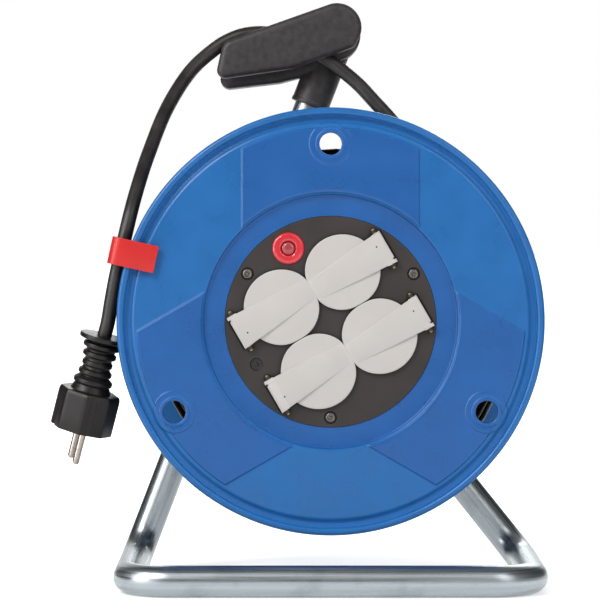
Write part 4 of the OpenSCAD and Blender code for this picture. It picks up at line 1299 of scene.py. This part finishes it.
@dataclass
class Lid:
    """A sprung lid: a disc with two flats, and a band that rises from its free end to the hinge."""

    number: int
    angle: float                       # where the socket lies on the drum
    hinge: float                       # the way from the socket to the hinge
    side: float                        # which side meets the next lid
    pitch: float = 35.4                # from the drum's axis to the socket
    middle: float = -1.2               # of the disc, seen from the socket
    radius: float = 25.6
    free_flat: tuple[float, float] = (1.5, 20.0)    # depth and spread in degrees of the free end's flat
    side_flat: tuple[float, float] = (0.75, 18.0)   # the same of the side that meets the next lid
    free_end: float = 24.4             # how far the band starts from the socket
    band_out: float = 34.2             # how far it ends, over the hinge
    front: float = 0.7                 # depth of the disc's face
    back: float = 3.3                  # depth of its underside
    mark_at: tuple[float, float, float] = (27.2, 3.3, 0.12)

    def disc(self) -> Surface:
        """Makes the disc, r = R - sum of depth * exp(-(d / spread)^2), with a softened edge.

        Here d is the degrees from the free end or from the side that meets the next lid.

        Returns:
            The disc, in the lid's own frame.
        """
        a = np.linspace(0.0, 360.0, 240, endpoint=False)
        r = np.full(len(a), self.radius)
        for towards, (depth, spread) in ((180.0, self.free_flat), (90.0 * self.side, self.side_flat)):
            r -= depth * np.exp(-(((a - towards + 180.0) % 360.0 - 180.0) / spread) ** 2)
        outline = polar(r, a) + [self.middle, 0.0]
        section = ((1.1, self.front), (0.5, self.front + 0.06), (0.14, self.front + 0.24),
                   (0.0, self.front + 0.6), (0.0, self.back - 0.3), (0.3, self.back))
        return prism(outline, polar(1.0, a), section, crowns=(0.12, 0.0))

    def slab(self, outline: Array, low: Sequence[float], high: Sequence[float], soft: float = 0.45) -> Surface:
        """Makes a solid between two sides: the outline carried across from y = low to y = high.

        Args:
            outline: its side view, [x, depth].
            low: y of the one side, at the free end and at the hinge.
            high: y of the other side, at the same places.
            soft: size of the corner cut along both sides.

        Returns:
            The solid, in the lid's own frame.
        """
        ahead = unit(np.roll(outline, -1, 0) - np.roll(outline, 1, 0))
        out = np.stack([ahead[:, 1], -ahead[:, 0]], -1)
        if np.sum((outline - outline.mean(0)) * out) < 0:
            out = -out
        corner = ((soft, 0.0), (0.3 * soft, 0.3 * soft), (0.0, soft))
        sides = [(low, 1, *cut) for cut in corner] + [(high, -1, *cut) for cut in corner[::-1]]
        sheets = []
        for edge, way, inset, drawn in sides:
            flat = outline - out * inset
            y = np.interp(flat[:, 0], [-self.free_end, self.band_out], edge) + way * drawn
            sheets.append(np.stack([flat[:, 0], y, flat[:, 1]], -1))
        caps = [np.broadcast_to(sheet.mean(0), sheet.shape) for sheet in (sheets[0], sheets[-1])]
        return Surface.of_grid(np.stack([caps[0], *sheets, caps[1]]))

    def knuckle(self, end: float, lift: float) -> Array:
        """Draws the side view of a part of the band that rolls over the hinge pin.

        Args:
            end: how far it reaches.
            lift: how much it stands above the band.

        Returns:
            Its outline, [x, depth].
        """
        return rounded(((27.5, -1.27 - lift, 0.6), (end - 1.0, -1.6 - lift, 0.9), (end, -0.9, 0.9),
                        (end, self.back, 0.3), (27.5, self.back, 0.3)), closed=True)

    def band(self) -> list[Surface]:
        """Makes the band, and its hinge end with a narrow notch and a small tab beside it.

        Returns:
            The three solids, in the lid's own frame.
        """
        end, lift = self.band_out, 0.03
        outline = rounded(((-self.free_end, 0.62, 0.3), (26.5, -1.25, 3.0), (end - 1.9, -1.58, 0.9),
                           (end - 0.9, -0.9, 0.9), (end - 0.9, self.back, 0.3),
                           (-self.free_end, self.back, 0.3)), closed=True)
        return [self.slab(outline, (-8.6, -12.1), (6.2, 12.1)),
                self.slab(self.knuckle(end, lift), (-8.6, -8.6), (8.0, 12.1), 0.3),
                self.slab(self.knuckle(end + 0.6, lift), (-12.2, -12.2), (-9.8, -9.8), 0.3)]

    def build(self) -> None:
        """Makes the lid and its small moulding mark."""
        shift = polar(self.pitch, self.angle)
        place: Place = lambda p: on_drum(turned(p, self.hinge, shift))
        body = Body[f"LID_{self.number}"]
        make_piece(f"socket_lid_{self.number}", joined([self.disc(), *self.band()]).moved(place), LID_GREY,
                   body, replaces=(f"lid_{self.number}",))
        mark = lathe(np.array([[0.0, -1.5], [0.45, -1.52], [0.62, -1.4], [0.62, -1.0], [0.0, -1.0]]), 16)
        make_piece(f"lid_mark_{self.number}", mark.moved(lambda p: place(p + self.mark_at)), PLATE_GREY, body)


@dataclass
class SocketInsert:
    """The socket plate with its lids, screws, thermal cut-out and what lies behind it."""

    lids: tuple[Lid, ...] = (Lid(1, 75.0, 30.0, -1.0), Lid(2, 165.0, 210.0, 1.0), Lid(3, 255.0, 210.0, -1.0),
                             Lid(4, 345.0, 30.0, 1.0))
    screw_pitch: float = 65.0
    screw_angles: tuple[float, ...] = (30.0, 150.0, 270.0)
    blank_place: tuple[float, float] = (58.0, 210.0)
    collar_place: tuple[float, float] = (57.3, 120.0)

    def screws(self) -> None:
        """Makes the domed screw heads, each with a round drive hole and a pin in its middle."""
        head = rounded(((0.0, 3.5, 0.0), (0.8, 3.5, 0.3), (1.0, 4.5, 0.1), (1.95, 4.5, 0.1), (1.95, 3.2, 0.2),
                        (2.3, 3.02, 0.2), (2.9, 3.12, 0.4), (3.35, 3.7, 0.3), (3.35, 4.8, 0.1), (1.9, 4.8, 0.1),
                        (1.9, 21.0, 0.1), (0.0, 21.0, 0.0)))
        one = lathe(head, 40)
        parts = [one.moved(lambda p, a=a: on_drum(turned(p, a, polar(self.screw_pitch, a))))
                 for a in self.screw_angles]
        make_piece("plate_screw_heads", joined(parts), SCREW_ZINC, Body.DRUM,
                   replaces=("plate_screws",))

    def blank(self) -> None:
        """Makes a near-black shallow cup with a small stud in the plate's blank recess; its dark colour stands
        in for the shade inside the open hole.
        """
        cup = rounded(((0.0, 3.9, 0.0), (1.1, 3.9, 0.3), (1.5, 4.72, 0.2), (3.9, 4.72, 0.2), (4.42, 3.9, 0.2),
                       (4.42, 4.78, 0.1), (0.0, 4.78, 0.0)))
        place: Place = lambda p: on_drum(turned(p, 0.0, polar(*self.blank_place)))
        make_piece("plate_blank_floor", lathe(cup, 40).moved(place), PART_BLACK, Body.DRUM)

    def cutout(self) -> None:
        """Makes the red collar, a rounded ring, and the domed button inside it."""
        shift = polar(*self.collar_place)
        place: Place = lambda p: on_drum(turned(p, 0.0, shift))
        ring = rounded(((4.65, 7.2, 0.2), (4.65, 2.9, 0.5), (5.6, 1.8, 0.8), (9.6, 1.8, 1.0), (11.0, 3.2, 0.9),
                        (11.0, 7.2, 0.2)), closed=True)
        make_piece("cutout_collar", lathe(ring, 72, closed=True).moved(place), COLLAR_RED, Body.DRUM,
                   replaces=("reset_collar",))
        dome = rounded(((0.0, 0.6, 0.0), (2.6, 0.62, 1.4), (4.35, 1.7, 1.0), (4.35, 5.2, 0.3), (2.5, 5.2, 0.2),
                        (2.5, 14.2, 0.3), (0.0, 14.2, 0.0)))
        make_piece("cutout_button", lathe(dome, 48).moved(place), BUTTON_RED, Body.BUTTON,
                   replaces=("reset_button",))

    def build(self) -> None:
        """Makes and dresses the insert."""
        for lid in self.lids:
            lid.build()
        self.screws()
        self.blank()
        self.cutout()
        dress(PLATE_GREY, "socket_plate")
        dress(PART_BLACK, "back_cover", "thermal_cutout", "cable_gland", "bearing_bush", "axle_saddle")
        dress(BRASS, "pin_contacts", "line_bar", "neutral_bar", "hinge_pins")
        dress(SPRING_STEEL, "earth_clips", "lid_springs")
        dress(FIXING_ZINC, "cover_screw", "hub_screws", "thrust_washer", "axle_circlip")


# ---- Stand ------------------------------------------------------------------


@dataclass
class Stand:
    """The bent tube stand: floor bar, two floor runs and two legs that meet behind the drum."""

    tube_radius: float = 10.65
    plane: float = 125.0               # depth of the legs
    floor: float = -172.35             # height of the floor runs' middle over the drum's axis
    rear_half: float = 138.0           # half the stand's width behind the drum
    front_half: float = 136.0          # and in front
    ahead: float = -31.0               # depth of the front floor bar
    lean: float = 21.0                 # degrees that the long leg leans inwards
    top: float = 197.8                 # height of its upper end
    bends: tuple[float, ...] = (26.0, 30.0, 30.0, 26.0)
    bead: float = 2.0                  # radius of the weld bead
    ripple: float = 0.25               # how much that radius changes
    ripples: int = 18

    def directions(self) -> tuple[Array, Array, Array]:
        """Works out how the legs run.

        Returns:
            The foot of the long leg, its direction, and the direction of the short leg.
        """
        foot = np.array([-self.rear_half, self.floor, self.plane])
        long = np.array([math.sin(math.radians(self.lean)), math.cos(math.radians(self.lean)), 0.0])
        return foot, long, unit(np.array([-self.rear_half, -self.floor, 0.0]))

    def tube(self) -> Surface:
        """Makes the tube along its straights and bends, from the grip round to the weld.

        Returns:
            The tube, in the drum's frame.
        """
        foot, long, short = self.directions()
        right = foot * [-1.0, 1.0, 1.0]
        top = foot + long * (self.top - self.floor) / long[1]
        reach = 2 * self.rear_half * long[1] / (long[1] * -short[0] + long[0] * short[1])
        path = bent((top, foot, (-self.front_half, self.floor, self.ahead),
                     (self.front_half, self.floor, self.ahead), right, right + short * reach), self.bends)
        return hose(path, self.tube_radius, sides=64)

    def weld(self) -> Surface:
        """Makes the bead round the short leg's end.

        Round the short leg at angle a, the bead's path lies where the two tubes meet: in the
        plane across the long leg its distance from that leg's axis is r |cos a|.

        Returns:
            The bead, in the drum's frame.
        """
        foot, long, short = self.directions()
        start = foot * [-1.0, 1.0, 1.0]
        across = np.array([long[1], -long[0], 0.0])
        side = np.array([short[1], -short[0], 0.0])
        back = np.array([0.0, 0.0, 1.0])
        a = np.linspace(0.0, 2 * np.pi, 97)[:-1]
        r = self.tube_radius
        gap = r * np.abs(np.cos(a)) - (start - foot) @ across - r * np.cos(a) * (side @ across)
        along = short * (gap / (short @ across))[:, None]
        ring = start + along + r * (side * np.cos(a)[:, None] + back * np.sin(a)[:, None])
        out = unit(ring - ring.mean(0))
        up = np.cross(unit(np.roll(ring, -1, 0) - np.roll(ring, 1, 0)), out)
        b = np.linspace(0.0, 2 * np.pi, 12, endpoint=False)[:, None]
        bead = self.bead + self.ripple * np.sin(a * self.ripples)[:, None, None]
        grid = ring[:, None] + (out[:, None] * np.cos(b) + up[:, None] * np.sin(b)) * bead
        length = np.broadcast_to((a * r)[:, None, None], (len(a), len(b), 1))
        flow = np.concatenate([bead * np.cos(b), bead * np.sin(b), length], -1)
        return Surface.of_grid(grid, ring_rows=True, flow=flow * MM)

    def build(self) -> None:
        """Makes the tube with its weld and dresses the axle's parts."""
        make_piece("bent_tube", self.tube().moved(on_drum), TUBE_ZINC, Body.STAND,
                   replaces=("stand_tube",))
        make_piece("weld_bead", self.weld().moved(on_drum), TUBE_ZINC, Body.STAND)
        dress(FIXING_ZINC, "axle", "axle_rear_washer", "axle_nut", "grip_screws", "neck_screw")


@dataclass
class Grip:
    """The carrying grip: a body with a neck on the tube and a front cheek, with a cable guide between."""

    stand: Stand = field(default_factory=Stand)
    # Corner circles, [x, height, radius], seen from the tube's upper end.
    body_corners: tuple[tuple[float, float, float], ...] = (
        (-0.6, 3.7, 19.0), (-70.1, -13.8, 9.0), (-75.1, -28.4, 6.4), (-40.4, -24.4, 6.4), (-23.0, -19.7, 6.4))
    cheek_corners: tuple[tuple[float, float, float], ...] = (
        (1.5, 7.8, 17.3), (10.5, -2.6, 4.6), (-71.6, -9.3, 9.0), (-77.6, -22.5, 6.0), (-30.9, -15.7, 6.0))
    pegs: tuple[tuple[float, float], ...] = ((4.9, 8.2), (-62.1, -17.8))
    body_depths: tuple[float, float] = (112.0, 140.0)
    cheek_depths: tuple[float, float] = (94.2, 101.2)
    neck_radius: float = 13.7
    neck_drop: float = 50.0            # how far the neck reaches down the tube

    def top(self) -> Array:
        """The upper end of the stand's tube, [x, height, depth]."""
        foot, long, _ = self.stand.directions()
        return foot + long * (self.stand.top - self.stand.floor) / long[1]

    def block(self, corners: Sequence[Sequence[float]], section: Sequence[Sequence[float]],
              crowns: tuple[float, float]) -> Surface:
        """Makes a rounded block inside a belt of corner circles.

        Args:
            corners: the circles.
            section: its edge from front to back, [how far inside the belt, depth].
            crowns: how far its front and its back bulge.

        Returns:
            The block, in the drum's frame.
        """
        data = np.asarray(corners, float) + [*self.top()[:2], 0.0]
        return prism(*belt(data, 160), section, crowns)

    def neck(self) -> Surface:
        """Makes the sleeve round the tube, turned about the long leg, with a rolled lower lip.

        Returns:
            The sleeve, in the drum's frame.
        """
        foot, long, _ = self.stand.directions()
        end = (self.stand.top - self.stand.floor) / long[1]
        low, r, t = end - self.neck_drop, self.neck_radius, self.stand.tube_radius + 0.1
        profile = rounded(((0.0, end - 20.0, 0.0), (t, end - 20.0, 0.2), (t, low + 0.4, 0.4),
                           (t + 0.9, low, 0.5), (r + 0.35, low + 0.2, 0.9), (r + 0.35, low + 2.6, 0.9),
                           (r, low + 3.4, 0.8), (r, end - 4.0, 0.5), (0.0, end - 4.0, 0.0)))
        sleeve = lathe(profile, 72)
        side, back = np.array([long[1], -long[0], 0.0]), np.array([0.0, 0.0, 1.0])
        p = sleeve.points
        return Surface(foot + side * p[:, :1] + back * p[:, 1:2] + long * p[:, 2:], sleeve.faces)

    def peg(self, offset: Sequence[float]) -> Surface:
        """Makes a peg between the body and the cheek.

        Args:
            offset: its place, seen from the tube's upper end.

        Returns:
            The peg, in the drum's frame.
        """
        front, back, radius = self.cheek_depths[1] + 0.02, self.body_depths[0] + 2.0, 6.0
        profile = rounded(((0.0, front, 0.0), (radius, front, 0.3), (radius, back, 0.3), (0.0, back, 0.0)))
        return lathe(profile, 32).moved(lambda p: turned(p, 0.0, self.top()[:2] + offset))

    def build(self) -> None:
        """Makes the grip's two halves."""
        a, b = self.body_depths
        body = self.block(self.body_corners, ((3.4, a), (1.6, a + 0.3), (0.5, a + 1.0), (0.0, a + 2.2),
                                              (0.0, b - 6.5), (0.7, b - 3.6), (2.3, b - 1.4), (4.6, b - 0.3),
                                              (6.0, b - 0.1)), (0.0, 0.1))
        parts = [body, self.neck(), *(self.peg(offset) for offset in self.pegs)]
        make_piece("grip_moulding", joined(parts).moved(on_drum), GRIP_BLACK, Body.STAND,
                   replaces=("grip_body",))
        a, b = self.cheek_depths
        cheek = self.block(self.cheek_corners, ((4.8, a + 0.35), (3.0, a + 0.6), (1.5, a + 1.3), (0.5, a + 2.5),
                                                (0.0, a + 4.0), (0.0, b - 0.8), (0.6, b)), (0.35, 0.0))
        make_piece("grip_front_cheek", cheek.moved(on_drum), GRIP_BLACK, Body.STAND,
                   replaces=("grip_cheek",))


# ---- Clip and plug ----------------------------------------------------------


@dataclass
class Clip:
    """A folded plastic band that holds the lead on the drum's rim."""

    at: tuple[float, float] = (-142.6, 47.4)
    lean: float = -12.5                # degrees
    eye: float = 16.0                  # depth of the middle of the bend round the lead
    fold: float = 3.7                  # depth of the middle of the bend in front of it
    bend: float = 6.3                  # radius of both
    reach: float = 25.3                # of the tab, towards the drum
    jaw: float = 21.0                  # reach of the jaw behind the rim
    jaw_depth: float = 8.6
    thick: float = 1.6
    width: float = 18.6
    soft: float = 0.35                 # rounding of the band's ends

    def centreline(self) -> Array:
        """Draws the band as seen from its side, from the tab's tip to the jaw's.

        Returns:
            Points, [towards the drum, depth].
        """
        r = self.bend
        tip = np.stack([np.linspace(self.reach, 1.0, 14), np.full(14, self.fold - r)], -1)
        fold = polar(r, np.linspace(-90.0, -180.0, 13)) + [0.0, self.fold]
        eye = polar(r, np.linspace(180.0, 0.0, 25)) + [0.0, self.eye]
        jaw = rounded(((r, self.eye - 1.0, 0.0), (r, self.jaw_depth, 2.2), (self.jaw, self.jaw_depth, 0.0)),
                      steps=9)
        return np.concatenate([tip, fold, eye, jaw[8:]])

    def surface(self) -> Surface:
        """Gives each point of the side view a rounded cross-section, and rounds off both ends.

        Returns:
            The band, in the drum's frame.
        """
        line = self.centreline()
        ahead = unit(np.gradient(line, axis=0))
        out = np.stack([-ahead[:, 1], ahead[:, 0]], -1)
        h, w = self.thick / 2, self.width / 2
        section = rounded(((h, w, 0.5), (-h, w, 0.5), (-h, -w, 0.5), (h, -w, 0.5)), closed=True)
        first, last = line[:1], line[-1:]
        line = np.concatenate([first, first, first + ahead[:1] * self.soft, line[1:-1],
                               last - ahead[-1:] * self.soft, last, last])
        out = np.concatenate([out[:1]] * 3 + [out[1:-1]] + [out[-1:]] * 3)
        whole = np.ones(len(line) - 6)
        keep = np.concatenate([[0.0, 0.55, 0.9], whole, [0.9, 0.55, 0.0]])[:, None, None]
        drawn = np.concatenate([[w, 0.6, 0.15], 0 * whole, [0.15, 0.6, w]])[:, None]
        flat = line[:, None] + out[:, None] * (section[None, :, :1] * keep)
        across = np.sign(section[:, 1]) * np.maximum(np.abs(section[:, 1]) - drawn, 0.0)
        grid = np.stack([flat[..., 0], across, flat[..., 1]], -1)
        return Surface.of_grid(grid).moved(lambda p: turned(p, self.lean, self.at))

    def build(self) -> bpy.types.Object:
        """Makes the clip and returns it, as it hangs on the lead."""
        return make_piece("lead_clip", self.surface().moved(on_drum), CLIP_RED, Body.STAND,
                          replaces=("cable_clip",))


@dataclass
class Plug:
    """The moulded plug, in its own frame with +z up the cable and +x towards the near pin."""

    at: tuple[float, float, float] = (-154.4, -10.2, 21.0)   # end of the cable, in the drum's frame
    tilts: tuple[float, float] = (math.degrees(math.asin(0.1)), math.degrees(math.atan2(0.25, 0.963)))
    turn: float = -74.4                # degrees about the cable
    relief_length: float = 39.0
    relief_seat: float = 0.5           # how far the relief reaches into the body
    cores: tuple[float, ...] = (10.4, 9.6, 9.2, 9.8, 12.0)   # radius of the core at each rib
    ribs: tuple[float, ...] = (12.7, 11.6, 10.5, 11.5, 13.4)
    first_rib: float = 7.2
    rib_spacing: float = 6.3
    body_length: float = 28.2
    body_radius: float = 21.6          # to the corners
    facets: int = 8
    facet_turn: float = -14.0          # angle of the first corner
    key: tuple[float, float] = (3.0, 19.3)        # half width of a key groove, and how far out its floor is
    recess: tuple[float, float] = (3.3, 17.6)     # the same of an earth recess
    recess_top: float = 7.9            # how far below the body's top it starts
    pin_radius: float = 2.4
    pin_length: float = 22.4
    pin_spacing: float = 19.0

    def place(self, points: Array) -> Array:
        """Turns points about z, then x, then y, and carries them to the cable's end.

        Args:
            points: points in the plug's own frame, in mm.

        Returns:
            The points in scene metres.
        """
        turn, tip, roll = (math.radians(v) for v in (self.turn, *self.tilts))
        rz = np.array([[math.cos(turn), -math.sin(turn), 0], [math.sin(turn), math.cos(turn), 0], [0, 0, 1]])
        rx = np.array([[1, 0, 0], [0, math.cos(tip), -math.sin(tip)], [0, math.sin(tip), math.cos(tip)]])
        ry = np.array([[math.cos(roll), 0, math.sin(roll)], [0, 1, 0], [-math.sin(roll), 0, math.cos(roll)]])
        at = np.array([self.at[0], self.at[2] + FACE_Y, self.at[1] + AXLE_Z])
        return (points @ (ry @ rx @ rz).T + at) * MM

    def relief(self) -> Surface:
        """Makes the strain relief: a collar, then ribs round a core that narrows and widens again.

        Returns:
            The relief, in the plug's own frame.
        """
        rows: list[tuple[float, float, float]] = [(0.0, 0.0, 0.0), (5.0, 0.0, 0.3), (16.5, 0.0, 0.7),
                                                  (16.5, -3.0, 0.7)]
        for i, (core, rib) in enumerate(zip(self.cores, self.ribs)):
            z = -self.first_rib - self.rib_spacing * i
            rows += [(core, z + 2.4, 0.8), (rib, z + 1.3, 0.6), (rib, z - 1.3, 0.6), (core, z - 2.2, 0.8)]
        foot, end = 14.0, -self.relief_length - self.relief_seat
        rows += [(foot, -self.relief_length + 0.4, 0.3), (foot, end, 0.0), (0.0, end, 0.0)]
        return lathe(rounded(rows), 64)

    def body(self) -> Surface:
        """Makes the body, a prism less a key groove at each end of the pins' line and two recesses.

        With h half a facet's angle and f the angle from a facet's middle, r = R cos h / cos f, and
        0.8% less at the corners. In a groove or recess r is at most its floor / |cos a| or |sin a|.

        Returns:
            The body, in the plug's own frame.
        """
        even = np.linspace(0.0, 360.0, 240, endpoint=False)
        key_walls = [middle + np.array([-8.25, -7.75, 7.75, 8.25]) for middle in (0.0, 180.0)]
        recess_walls = [middle + np.array([-9.2, -8.6, 8.6, 9.2]) for middle in (90.0, 270.0)]
        a = np.radians(np.sort(np.concatenate([even, *key_walls, *recess_walls]) % 360.0))
        half = np.pi / self.facets
        folded = (a - math.radians(self.facet_turn)) % (2 * half) - half
        corner = ease((np.abs(folded) / half - 0.7) / 0.3)
        prism_radius = self.body_radius * math.cos(half) / np.cos(folded) * (1 - 0.008 * corner)
        top, bottom = -self.relief_length, -self.relief_length - self.body_length
        z = np.array([top, top, top - 0.35, top - 1.2, top - 3.0, top - 4.2, top - 7.6, top - 8.0, top - 8.4,
                      top - 16, bottom + 1.0, bottom + 0.3, bottom, bottom])
        shrink = np.array([30.0, 2.4, 1.2, 0.55, 0.1, 0.0, 0.0, 0.0, 0.0, 0.0, 0.0, 0.25, 0.8, 30.0])
        r = np.maximum(prism_radius[None] - shrink[:, None], 0.0)
        key_half, key_floor = self.key
        in_key = (np.abs(np.sin(a)) * self.body_radius < key_half)[None] & (r > 0)
        r = np.where(in_key, np.minimum(r, key_floor / np.abs(np.cos(a))), r)
        recess_half, recess_floor = self.recess
        in_recess = (np.abs(np.cos(a)) * self.body_radius < recess_half)[None] & (r > 0)
        in_recess = in_recess & (z < top - self.recess_top)[:, None]
        r = np.where(in_recess, np.minimum(r, recess_floor / np.maximum(np.abs(np.sin(a)), 0.5)), r)
        height = np.broadcast_to(z[:, None], r.shape)
        return Surface.of_grid(np.stack([r * np.cos(a), r * np.sin(a), height], -1))

    def pins(self) -> Surface:
        """Makes two round pins with rounded tips.

        Returns:
            The pins, in the plug's own frame.
        """
        foot, r, thin = -self.relief_length - self.body_length, self.pin_radius, self.pin_radius - 0.45
        tip = foot - self.pin_length
        profile = rounded(((0.0, foot + 8.0, 0.0), (thin, foot + 8.0, 0.2), (thin, foot + 0.4, 0.1),
                           (r, foot + 0.02, 0.1), (r, tip + 1.4, 0.7), (r - 1.0, tip + 0.1, 0.5),
                           (0.0, tip, 0.0)))
        one = lathe(profile, 40)
        return joined([one.moved(lambda p, s=s: p + [s * self.pin_spacing / 2, 0.0, 0.0]) for s in (-1, 1)])

    def build(self) -> list[bpy.types.Object]:
        """Makes the plug's pieces.

        Returns:
            All that hangs on the lead here, with the earth strips.
        """
        relief = make_piece("plug_strain_relief", self.relief().moved(self.place), PLUG_BLACK, Body.STAND,
                            replaces=("plug_relief",))
        body = make_piece("plug_moulding", self.body().moved(self.place), PLUG_BLACK, Body.STAND,
                          replaces=("plug_body",), sharp=24.0)
        pins = make_piece("plug_contact_pins", self.pins().moved(self.place), PIN_NICKEL, Body.STAND,
                          replaces=("plug_pins",))
        dress(PIN_NICKEL, "plug_earth_strips")
        return [relief, body, pins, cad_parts["plug_earth_strips"]]


def main() -> None:
    """Builds the studio and then every part of the reel."""
    logging.basicConfig(level=logging.INFO, format="%(name)s: %(message)s")
    Studio().build()
    hanging = Plug().build() + [Clip().build()]
    Cable().build(hanging)
    for flange in (FRONT_FLANGE, REAR_FLANGE):
        flange.build()
    SocketInsert().build()
    Stand().build()
    Grip().build()


if __name__ == "__main__":
    main()
